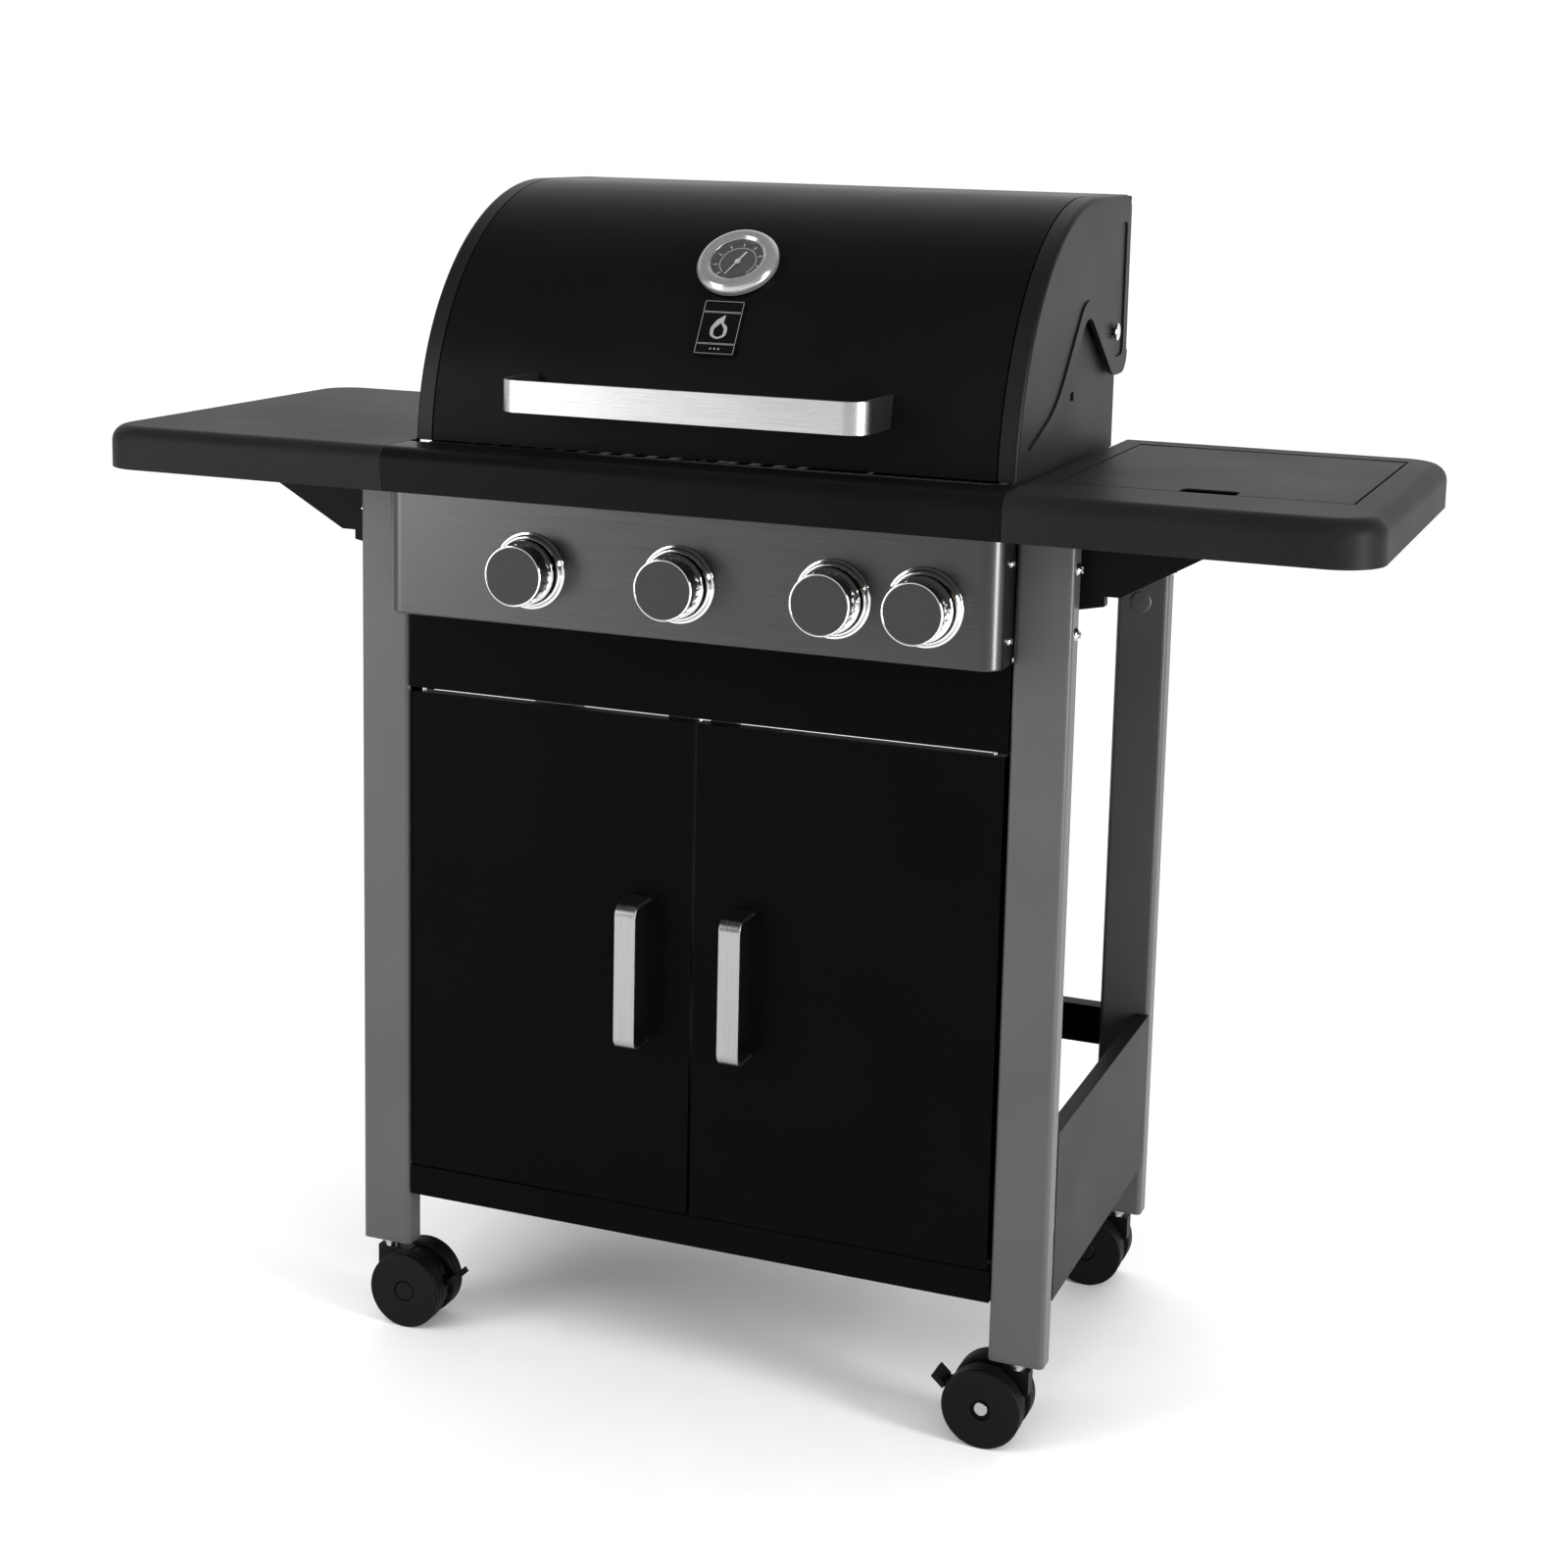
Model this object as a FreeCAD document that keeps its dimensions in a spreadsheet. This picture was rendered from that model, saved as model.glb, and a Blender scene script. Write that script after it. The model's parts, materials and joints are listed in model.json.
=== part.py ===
"""Gas barbecue grill on a four-leg cabinet cart, with a side burner.

Frame: +X to the cook's right, +Y to the back, +Z up. The origin is on the floor, under the
middle of the overall box. Lengths are in millimetres.
"""
import FreeCAD
import Part
import math
import os
import Sketcher
from FreeCAD import Placement, Rotation, Vector

SIZES = {
    # cart
    "cart_width": 700, "cart_depth": 390, "leg_width": 52, "leg_depth": 25, "leg_corner": 5,
    "leg_foot": 82, "leg_top": 862, "sheet": 1.2, "seam": 0.8,
    "base_low": 134, "base_high": 164, "side_panel_high": 296, "side_panel_lip": 14,
    "socket_flange": 2, "socket_deep": 30, "base_inset": 1,
    "rail_low": 255, "rail_high": 775, "rail_tall": 40, "rail_deep": 18, "rail_inset": 2,
    "header_low": 645, "header_top_lip": 16, "header_low_lip": 30,
    "panel_screw": 4.2, "panel_screw_in": 14, "panel_screw_low": 748, "panel_screw_high": 816,
    "leg_screw": 6.2, "leg_screw_low": 754, "leg_screw_high": 811, "bracket_root": 2,
    "bracket_foot": 764, "bracket_rise": 14, "bracket_step": 371, "bracket_low": 787,
    "bracket_reach": 470, "bracket_tip": 835, "bracket_thick": 1.5, "bracket_lip": 10,
    # shelves and front rail
    "overall_width": 1228, "shelf_top": 881, "shelf_skirt": 41, "shelf_front": 53,
    "shelf_back": 391.5, "shelf_corner": 45, "bullnose": 16, "nose_lip": 12, "sheet_gap": 1,
    # control panel and knobs
    "panel_low": 725, "panel_reach": 45, "panel_corner": 18, "panel_lip": 16, "stem_hole": 12,
    "knob_reach": 80, "knob_high": 777, "knob_skirt": 1.5, "knob_skirt_high": 3,
    "knob_radius": 28, "knob_pitch": 147, "side_knob": 231, "knob_travel": 4,
    "bezel_radius": 35.5, "bezel_thick": 6, "bezel_bore": 8, "bezel_slope": 4, "bezel_rim": 2,
    "stem_radius": 3, "stem_grip": 8, "running_gap": 0.06,
    # doors
    "door_low": 166, "door_high": 641, "door_edge": 294, "door_gap": 1.5, "door_deep": 14,
    "door_hinge_in": 10, "door_hinge_back": 6, "hinge_pin_radius": 2.5,
    "pull_low": 331, "pull_high": 471, "pull_width": 21, "pull_centre": 52, "pull_reach": 37,
    "pull_thick": 4, "pull_bend": 12,
    # firebox and what it holds
    "firebox_half": 283, "firebox_front": 12, "firebox_rear": 367, "firebox_low": 745,
    "firebox_back_high": 938, "wall": 2,
    "wing_toe": 6, "wing_slot_back": 206, "wing_slot_low": 934, "wing_slot_wide": 10,
    "wing_slot_high": 8, "drain_half": 60, "drain_front": 120, "drain_rear": 260,
    "hanger_front": 40, "hanger_lip": 14, "hanger_thick": 1.5, "hanger_drop": 3,
    "burner_radius": 12, "burner_wall": 1, "tamer_half": 48, "tamer_low": 14, "tamer_rise": 26,
    "tamer_thick": 2, "grate_low": 866, "grate_thick": 8, "grate_slot": 14, "grate_pitch": 24,
    "grate_border": 9, "grate_gap": 1,
    "rack_high": 965, "rack_wire": 3, "rack_front": 215, "rack_rear": 300, "rack_pitch": 40,
    "tray_low": 706, "tray_high": 730, "tray_half": 120, "tray_front": 60, "tray_rear": 372,
    "tray_lip": 12, "tray_lip_half": 40, "tray_lip_thick": 3, "drip_hole": 8, "drip_back": 190,
    "cup_deep": 52, "cup_foot": 30, "cup_mouth": 38,
    # lid
    "lid_half": 294, "lid_low": 883, "lid_top": 1122, "lid_front": 6.2, "lid_lean": 12.4,
    "lid_arc": 250, "lid_arc_back": 256, "lid_arc_high": 872, "lid_rear": 378,
    "lid_rear_corner": 15, "lid_rear_low": 985, "lid_wall": 1.2, "cap_width": 17,
    "cap_gap": 1.5, "cap_plate": 4.5, "cap_rim": 3, "cap_rim_end": 355,
    "pivot_back": 330, "pivot_high": 991, "pivot_radius": 4, "pivot_head": 8.5,
    "pivot_head_low": 0.4, "pivot_head_top": 3,
    "handle_half": 176, "handle_reach": 58, "handle_low": 922, "handle_high": 951,
    "handle_thick": 5.5, "handle_bend": 20,
    "gauge_angle": 46.5, "gauge_radius": 39.5, "gauge_window": 25, "gauge_stand": 12,
    "badge_angle": 30.5, "badge_width": 41, "badge_height": 56, "badge_thick": 2,
    # side burner
    "side_lid_left": 321, "side_lid_right": 576, "side_lid_front": 44, "side_lid_back": 347,
    "side_lid_gap": 2, "side_lid_edge": 9, "notch_left": 427, "notch_right": 477,
    "notch_deep": 22, "notch_corner": 6, "bowl_deep": 34, "bowl_wall": 1, "bowl_flange": 9,
    "support_bar": 5, "support_foot": 90, "support_half": 110, "support_low": 19,
    "side_lid_sheet": 1.5, "side_lid_wall": 1.2, "side_pin": 1.5, "side_knuckle": 2.9,
    "side_knuckle_in": 30,
    # casters
    "wheel_radius": 37.5, "wheel_width": 18, "caster_width": 53, "caster_offset": 27,
    "caster_stem": 5.5, "caster_web": 14, "axle_radius": 3,
}

doc = FreeCAD.newDocument("gas_grill")
sheet = doc.addObject("Spreadsheet::Sheet", "Sizes")
for row, (alias, number) in enumerate(SIZES.items(), start=1):
    sheet.set(f"A{row}", alias)
    sheet.set(f"B{row}", str(number))
    sheet.setAlias(f"B{row}", alias)
doc.recompute()


class Size:
    """A number that also keeps the sheet expression it was worked out from."""

    def __init__(self, value, text):
        self.value = float(value)
        self.text = text

    def join(self, other, sign, value, swap=False):
        first, second = (other, self) if swap else (self, other)
        return Size(value, f"({first.text} {sign} {second.text})")

    def __add__(self, other):
        other = size(other)
        return self.join(other, "+", self.value + other.value)

    def __sub__(self, other):
        other = size(other)
        return self.join(other, "-", self.value - other.value)

    def __mul__(self, other):
        other = size(other)
        return self.join(other, "*", self.value * other.value)

    def __truediv__(self, other):
        other = size(other)
        return self.join(other, "/", self.value / other.value)

    def __radd__(self, other):
        return size(other) + self

    def __rsub__(self, other):
        return size(other) - self

    def __rmul__(self, other):
        return self * other

    def __neg__(self):
        return Size(-self.value, f"(0 - {self.text})")


def size(value):
    """A Size from a Size or a plain number."""
    if isinstance(value, Size):
        return value
    return Size(value, repr(float(value)) if value >= 0 else f"(0 - {abs(float(value))!r})")


def cell(alias):
    """The Size held in one cell of the sheet."""
    return Size(SIZES[alias], f"Sizes.{alias}")


def low_high(first, second):
    """Two ends of a span, the lower one first."""
    first, second = size(first), size(second)
    return (first, second) if first.value <= second.value else (second, first)


def bind(target, path, value):
    """Bind one property to the sheet."""
    target.setExpression(path, size(value).text)


# The middle of the overall depth is the origin, so everything is measured from LEG_FRONT,
# the plane of the front legs' faces.
CASTER_REAR = cell("cart_depth") - cell("leg_depth") / 2 + cell("caster_width") / 2
LEG_FRONT = (cell("knob_reach") - CASTER_REAR) / 2
LEG_OUT = cell("cart_width") / 2
LEG_IN = LEG_OUT - cell("leg_width")
SHEET = cell("sheet")
SHELF_IN = LEG_IN + cell("seam")
SHELF_OUT = cell("overall_width") / 2
SHELF_LOW = cell("shelf_top") - cell("shelf_skirt")
SHELF_UNDER = cell("shelf_top") - SHEET
PIN_GAP = cell("running_gap")
nodes = {}


def back(distance):
    """The Y of a point this far behind the front legs' faces."""
    return LEG_FRONT + distance


def keep(thing, label):
    """Register an object as the sub-part with this name."""
    thing.Label = label
    nodes[label] = thing
    return thing


def place(thing, x=0, y=0, z=0, turn=None):
    """Put an object at a place worked out from the sheet, and turn it."""
    if turn is not None:
        thing.Placement = Placement(Vector(), turn)
    for axis, value in zip("xyz", (x, y, z)):
        bind(thing, f"Placement.Base.{axis}", value)
    return thing


TURNS = {"x": Rotation(Vector(0, 1, 0), 90), "y": Rotation(Vector(1, 0, 0), -90), "z": Rotation()}
FACING_FRONT = Rotation(Vector(1, 0, 0), 90)


def block(name, x, y, z):
    """A box between three spans."""
    thing = doc.addObject("Part::Box", name)
    x, y, z = low_high(*x), low_high(*y), low_high(*z)
    for path, span in (("Length", x), ("Width", y), ("Height", z)):
        bind(thing, path, span[1] - span[0])
    return place(thing, x[0], y[0], z[0])


def rod(name, axis, radius, centre, span):
    """A cylinder along an axis; centre holds its other two coordinates, in X, Y, Z order."""
    thing = doc.addObject("Part::Cylinder", name)
    span = low_high(*span)
    bind(thing, "Radius", radius)
    bind(thing, "Height", span[1] - span[0])
    start = list(centre)
    start.insert("xyz".index(axis), span[0])
    return place(thing, *start, turn=TURNS[axis])


def fuse(name, things):
    if len(things) == 1:
        return things[0]
    joined = doc.addObject("Part::MultiFuse", name)
    joined.Shapes = things
    return joined


def cut(name, base, tool):
    remainder = doc.addObject("Part::Cut", name)
    remainder.Base = base
    remainder.Tool = tool
    return remainder


def group(name, things):
    """Several separate solids of one kind, kept together."""
    together = doc.addObject("Part::Compound", name)
    together.Links = things
    return together


def new_body(name):
    return doc.addObject("PartDesign::Body", name)


def add_outline(sketch, corners):
    """Draw a closed outline in a sketch. A corner is (x, y) or, rounded, (x, y, radius)."""
    corners = [tuple(size(value) for value in corner) for corner in corners]
    points = [Vector(corner[0].value, corner[1].value, 0) for corner in corners]
    count = len(corners)
    ends, arcs = [], []
    for index, corner in enumerate(corners):
        here = points[index]
        into = (here - points[index - 1]).normalize()
        away = (points[(index + 1) % count] - here).normalize()
        if len(corner) == 2:
            ends.append((here, here))
            arcs.append(None)
            continue
        radius = corner[2].value
        turn = into.getAngle(away)
        run = radius * math.tan(turn / 2)
        start, stop = here - into * run, here + away * run
        left = into.cross(away).z > 0
        side = Vector(-into.y, into.x, 0) * (radius if left else -radius)
        centre = start + side
        first, last = (start, stop) if left else (stop, start)
        angles = [math.atan2(point.y - centre.y, point.x - centre.x) for point in (first, last)]
        ends.append((start, stop))
        arcs.append((centre, radius, angles, left))
    base = sketch.GeometryCount
    lines = [Part.LineSegment(ends[i][1], ends[(i + 1) % count][0]) for i in range(count)]
    sketch.addGeometry(lines, False)
    rules, bound = [], []
    first_rule = len(sketch.Constraints)
    for index, corner in enumerate(corners):
        before, after = base + (index - 1) % count, base + index
        if arcs[index] is None:
            rules.append(Sketcher.Constraint("Coincident", before, 2, after, 1))
            fixed, vertex = before, 2
        else:
            centre, radius, angles, left = arcs[index]
            circle = Part.Circle(centre, Vector(0, 0, 1), radius)
            arc = sketch.addGeometry(Part.ArcOfCircle(circle, *angles), False)
            fixed = sketch.addGeometry(Part.Point(points[index]), True)
            vertex = 1
            enter, leave = (1, 2) if left else (2, 1)
            rules.append(Sketcher.Constraint("Tangent", before, 2, arc, enter))
            rules.append(Sketcher.Constraint("Tangent", arc, leave, after, 1))
            rules.append(Sketcher.Constraint("PointOnObject", fixed, 1, before))
            rules.append(Sketcher.Constraint("PointOnObject", fixed, 1, after))
            rules.append(Sketcher.Constraint("Radius", arc, radius))
            bound.append((len(rules) - 1, corner[2]))
        for kind, value in zip(("DistanceX", "DistanceY"), corner):
            rules.append(Sketcher.Constraint(kind, -1, 1, fixed, vertex, value.value))
            bound.append((len(rules) - 1, value))
    sketch.addConstraint(rules)
    for offset, value in bound:
        if "Sizes." in value.text:
            sketch.setExpression(f"Constraints[{first_rule + offset}]", value.text)


def add_circle(sketch, x, y, radius):
    """Draw a circle whose centre and radius come from the sheet."""
    x, y, radius = size(x), size(y), size(radius)
    middle = Vector(x.value, y.value, 0)
    ring = sketch.addGeometry(Part.Circle(middle, Vector(0, 0, 1), radius.value), False)
    first = len(sketch.Constraints)
    sketch.addConstraint([
        Sketcher.Constraint("DistanceX", -1, 1, ring, 3, x.value),
        Sketcher.Constraint("DistanceY", -1, 1, ring, 3, y.value),
        Sketcher.Constraint("Radius", ring, radius.value),
    ])
    for offset, value in enumerate((x, y, radius)):
        if "Sizes." in value.text:
            sketch.setExpression(f"Constraints[{first + offset}]", value.text)


def sketch_on(body, plane, height, outlines=(), circles=()):
    """A sketch parallel to one of the body's origin planes, this far along its normal."""
    sketch = body.newObject("Sketcher::SketchObject", f"{body.Name}_sketch")
    support = next(f for f in body.Origin.OriginFeatures if f.Role == f"{plane}_Plane")
    sketch.AttachmentSupport = [(support, "")]
    sketch.MapMode = "FlatFace"
    bind(sketch, "AttachmentOffset.Base.z", height)
    for corners in outlines:
        add_outline(sketch, corners)
    for circle in circles:
        add_circle(sketch, *circle)
    return sketch


def along_normal(plane, span):
    """A world span as a span along the plane's normal, which is -Y for the XZ plane."""
    first, second = low_high(*span)
    return (-second, -first) if plane == "XZ" else (first, second)


def pad(body, plane, outlines, span, circles=()):
    """Extrude outlines drawn on a plane over a span of the third axis."""
    start, end = along_normal(plane, span)
    feature = body.newObject("PartDesign::Pad", f"{body.Name}_pad")
    feature.Profile = sketch_on(body, plane, start, outlines, circles)
    bind(feature, "Length", end - start)
    body.Tip = feature
    return feature


def pocket(body, plane, outlines, span, circles=()):
    """Cut outlines out of the body over a span of the third axis."""
    start, end = along_normal(plane, span)
    feature = body.newObject("PartDesign::Pocket", f"{body.Name}_pocket")
    feature.Profile = sketch_on(body, plane, end, outlines, circles)
    bind(feature, "Length", end - start)
    body.Tip = feature
    return feature


def extruded(name, plane, corners, span):
    body = new_body(name)
    pad(body, plane, [corners], span)
    return body


def turned(name, corners):
    """A solid of revolution about its own Z; a corner is (radius, height)."""
    body = new_body(name)
    feature = body.newObject("PartDesign::Revolution", f"{name}_turn")
    sketch = sketch_on(body, "XZ", 0, [corners])
    feature.Profile = sketch
    feature.ReferenceAxis = (sketch, ["V_Axis"])
    feature.Angle = 360
    body.Tip = feature
    return body


def round_edges(body, radius, wanted):
    """Fillet the edges of the body's last feature for which wanted(edge) is true."""
    doc.recompute()
    last = body.Tip
    names = [f"Edge{i}" for i, edge in enumerate(last.Shape.Edges, start=1) if wanted(edge)]
    feature = body.newObject("PartDesign::Fillet", f"{body.Name}_round")
    feature.Base = (last, names)
    bind(feature, "Radius", radius)
    body.Tip = feature
    return feature


def rectangle(x, y):
    """The four corners of an upright rectangle."""
    x, y = low_high(*x), low_high(*y)
    return [(x[0], y[0]), (x[1], y[0]), (x[1], y[1]), (x[0], y[1])]


def rounded(x, y, radius):
    return [corner + (radius,) for corner in rectangle(x, y)]


SIDES = {"left": -1, "right": 1}


# ---------------------------------------------------------------- cart
def leg(side, depth_name):
    """A rectangular tube leg with rounded corners."""
    sign = SIDES[side]
    width, deep, wall = cell("leg_width"), cell("leg_depth"), SHEET
    body = new_body(f"leg_{depth_name}_{side}")
    outer = rounded((0, width), (0, deep), cell("leg_corner"))
    inner = rounded((wall, width - wall), (wall, deep - wall), cell("leg_corner") - wall)
    pad(body, "XY", [outer, inner], (0, cell("leg_top") - cell("leg_foot")))
    x = LEG_IN if sign > 0 else -LEG_OUT
    y = back(0) if depth_name == "front" else back(cell("cart_depth") - cell("leg_depth"))
    return place(body, x, y, cell("leg_foot"))


def caster_places():
    """Name, stem X, stem Y and side sign of each caster."""
    middle = LEG_OUT - cell("leg_width") / 2
    front = back(cell("leg_depth") / 2)
    rear = back(cell("cart_depth") - cell("leg_depth") / 2)
    for depth_name, y in (("front", front), ("rear", rear)):
        for side, sign in SIDES.items():
            yield f"{depth_name}_{side}", middle * sign, y, sign


def caster_sockets():
    """Plugs in the legs' lower ends, each with a bore for a caster's stem."""
    plugs = []
    for name, x, y, _ in caster_places():
        foot, wall = cell("leg_foot"), SHEET
        half_x, half_y = cell("leg_width") / 2, cell("leg_depth") / 2
        body = new_body(f"socket_{name}")
        bore = [(0, 0, cell("caster_stem") + PIN_GAP)]
        flange = rounded((-half_x, half_x), (-half_y, half_y), cell("leg_corner"))
        inner = rounded((wall - half_x, half_x - wall), (wall - half_y, half_y - wall),
                        cell("leg_corner") - wall)
        pad(body, "XY", [flange], (-cell("socket_flange"), 0), bore)
        pad(body, "XY", [inner], (0, cell("socket_deep")), bore)
        plugs.append(place(body, x, y, foot))
    keep(group("sockets", plugs), "caster_sockets")


def pan(name, x, y, z, wall, open_side="below"):
    """A sheet pan: a box hollowed from below or from above."""
    x, y, z = low_high(*x), low_high(*y), low_high(*z)
    body = extruded(name, "XY", rectangle(x, y), z)
    hollow = rectangle((x[0] + wall, x[1] - wall), (y[0] + wall, y[1] - wall))
    inside = (z[0], z[1] - wall) if open_side == "below" else (z[0] + wall, z[1])
    pocket(body, "XY", [hollow], inside)
    return body


def base_and_sides():
    """The bottom shelf, the two lower side panels and the two rear rails."""
    inner = LEG_IN - cell("seam")
    inset = cell("base_inset")
    depth = (back(inset), back(cell("cart_depth") - inset))
    shelf = pan("bottom_shelf_body", (-inner, inner), depth,
                (cell("base_low"), cell("base_high")), SHEET)
    keep(shelf, "bottom_shelf")
    front, rear = back(cell("leg_depth")), back(cell("cart_depth") - cell("leg_depth"))
    low = cell("base_low") + inset * 2
    high, lip = cell("side_panel_high"), cell("side_panel_lip")
    panels = []
    for side, sign in SIDES.items():
        outline = [(LEG_OUT, low), (LEG_OUT, high), (LEG_OUT - lip, high),
                   (LEG_OUT - lip, high - SHEET), (LEG_OUT - SHEET, high - SHEET),
                   (LEG_OUT - SHEET, low + SHEET), (LEG_OUT - lip, low + SHEET),
                   (LEG_OUT - lip, low)]
        outline = [(sign * x, z) for x, z in outline]
        panels.append(extruded(f"side_{side}", "XZ", outline, (front, rear)))
    keep(group("sides", panels), "side_panels")
    rails = []
    outside = back(cell("cart_depth") - cell("rail_inset"))
    open_side = outside - cell("rail_deep")
    for name in ("low", "high"):
        bottom = cell(f"rail_{name}")
        rim = bottom + cell("rail_tall")
        channel = [(open_side, bottom), (outside, bottom), (outside, rim), (open_side, rim),
                   (open_side, rim - SHEET), (outside - SHEET, rim - SHEET),
                   (outside - SHEET, bottom + SHEET), (open_side, bottom + SHEET)]
        rails.append(extruded(f"rail_{name}", "YZ", channel, (-LEG_IN, LEG_IN)))
    keep(group("rails", rails), "rear_rails")


def fronts():
    """The door header, the control panel and the bullnosed front rail."""
    inner = LEG_IN - cell("seam")
    gap = cell("sheet_gap")
    low, high, front = cell("header_low"), cell("panel_low") - gap, back(0)
    top_lip, low_lip = front + cell("header_top_lip"), front + cell("header_low_lip")
    header = [(front, low), (front, high), (top_lip, high), (top_lip, high - SHEET),
              (front + SHEET, high - SHEET), (front + SHEET, low + SHEET),
              (low_lip, low + SHEET), (low_lip, low)]
    keep(extruded("header", "YZ", header, (-inner, inner)), "door_header")

    reach, bend, top = back(-cell("panel_reach")), cell("panel_corner"), SHELF_LOW - gap
    half = LEG_IN
    panel = new_body("panel")
    outer = [(-half, front), (-half, reach, bend), (half, reach, bend), (half, front)]
    inside = [(half - SHEET, front), (half - SHEET, reach + SHEET, bend - SHEET),
              (SHEET - half, reach + SHEET, bend - SHEET), (SHEET - half, front)]
    pad(panel, "XY", [outer + inside], (cell("panel_low"), top))
    lip = reach + cell("panel_lip")
    floor = [(bend - half, lip), (bend - half, reach + SHEET), (half - bend, reach + SHEET),
             (half - bend, lip)]
    pad(panel, "XY", [floor], (cell("panel_low"), cell("panel_low") + SHEET))
    holes = [(x, cell("knob_high"), cell("stem_hole")) for x in knob_places()]
    pocket(panel, "XZ", [], (reach - 1, reach + SHEET + 1), holes)
    keep(panel, "control_panel")

    nose, round_size = back(-cell("shelf_front")), cell("bullnose")
    high, low = cell("shelf_top"), SHELF_LOW
    lip = nose + cell("nose_lip")
    rail = [(front + gap, high), (nose, high, round_size), (nose, low), (lip, low),
            (lip, low + SHEET), (nose + SHEET, low + SHEET),
            (nose + SHEET, high - SHEET, round_size - SHEET), (front + gap, high - SHEET)]
    keep(extruded("nose_rail", "YZ", rail, (-LEG_IN, LEG_IN)), "front_rail")


def knob_places():
    """X of the three main knobs and of the side burner's knob."""
    pitch = cell("knob_pitch")
    return [-pitch, size(0), pitch, cell("side_knob")]


def shelf(side):
    """A pressed shelf with a bullnosed edge and rounded outer corners, open below."""
    sign = SIDES[side]
    label = f"{side}_shelf"
    corner, nose = cell("shelf_corner"), cell("bullnose")
    y_front, y_back = back(-cell("shelf_front")), back(cell("shelf_back"))

    def outline(inset):
        bend, seam, end = corner - inset, sign * SHELF_IN, sign * (SHELF_OUT - inset)
        return [(seam, y_front + inset), (end, y_front + inset, bend),
                (end, y_back - inset, bend), (seam, y_back - inset)]

    def top_edges(height):
        inner_edge = abs(sign * SHELF_IN.value)

        def wanted(edge):
            box = edge.BoundBox
            flat = abs(box.ZMin - height) < 1e-3 and abs(box.ZMax - height) < 1e-3
            seam_edge = abs(abs(box.XMin) - inner_edge) < 1e-3 and box.XLength < 1e-3
            return flat and not seam_edge
        return wanted

    outer = new_body(f"{label}_outer")
    pad(outer, "XY", [outline(size(0))], (SHELF_LOW, cell("shelf_top")))
    round_edges(outer, nose, top_edges(cell("shelf_top").value))
    inner = new_body(f"{label}_inner")
    pad(inner, "XY", [outline(SHEET)], (SHELF_LOW, SHELF_UNDER))
    round_edges(inner, nose - SHEET, top_edges(SHELF_UNDER.value))
    shell = cut(f"{label}_shell", outer, inner)
    if side == "right":
        gap = cell("side_lid_gap")
        hole = block("side_burner_opening",
                     (cell("side_lid_left") - gap, cell("side_lid_right") + gap),
                     (back(cell("side_lid_front") - gap), back(cell("side_lid_back") + gap)),
                     (SHELF_UNDER - 1, cell("shelf_top") + 1))
        shell = cut(f"{label}_opened", shell, hole)
    keep(shell, label)


def shelf_brackets():
    """Gusset plates behind the front legs and ahead of the rear ones, with a lip along the foot."""
    plates = []
    root, reach = LEG_IN + cell("bracket_root"), cell("bracket_reach")
    thick = cell("bracket_thick")
    foot, step, low = cell("bracket_foot"), cell("bracket_step"), cell("bracket_low")
    rise, tip = cell("bracket_rise"), cell("bracket_tip")
    for side, sign in SIDES.items():
        under = [(root, foot), (step, foot + rise), (step, low), (step + rise, low), (reach, tip)]
        above = [(reach, tip + thick), (step + rise, low + thick), (step - thick, low + thick),
                 (step - thick, foot + rise + thick), (root, foot + thick)]
        gusset = [(sign * x, z) for x, z in under + [(reach, SHELF_UNDER), (root, SHELF_UNDER)]]
        lip = [(sign * x, z) for x, z in under + above]
        front, rear = cell("leg_depth"), cell("cart_depth") - cell("leg_depth")
        for name, face, inward in (("front", front, 1), ("rear", rear, -1)):
            bend = face + inward * thick
            plate = extruded(f"bracket_{name}_{side}", "XZ", gusset, (back(face), back(bend)))
            pad(plate, "XZ", [lip], (back(bend), back(bend + inward * cell("bracket_lip"))))
            plates.append(plate)
    keep(group("brackets", plates), "shelf_brackets")


def button_head(name, radius):
    """A button-head screw's head, standing on its own Z."""
    return turned(name, [(0, 0), (radius, 0), (radius * 0.78, radius * 0.42), (0, radius * 0.52)])


def frame_screws():
    """Button-head screws: two per control panel end, and two on each leg's outer side."""
    heads = []
    small, large = cell("panel_screw"), cell("leg_screw")
    places = [(LEG_IN, back(-cell("panel_screw_in")), cell(f"panel_screw_{end}"), small)
              for end in ("low", "high")]
    for y in (back(cell("leg_depth") / 2), back(cell("cart_depth") - cell("leg_depth") / 2)):
        places += [(LEG_OUT, y, cell(f"leg_screw_{end}"), large) for end in ("low", "high")]
    for side, sign in SIDES.items():
        for index, (x, y, z, radius) in enumerate(places):
            head = button_head(f"screw_{side}_{index}", radius)
            heads.append(place(head, sign * x, y, z, Rotation(Vector(0, 1, 0), 90 * sign)))
    keep(group("screws", heads), "frame_screws")


# ---------------------------------------------------------------- firebox
# A wing's side view: distance behind the legs' faces, height and, where rounded, radius.
WING_FRONT = 20
WING = ((26, 935), (62, 1000, 30), (125, 1040, 60), (335, 1040, 30))
WING_REAR_HIGH = 1005
WING_REAR_ROUND = 10


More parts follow.
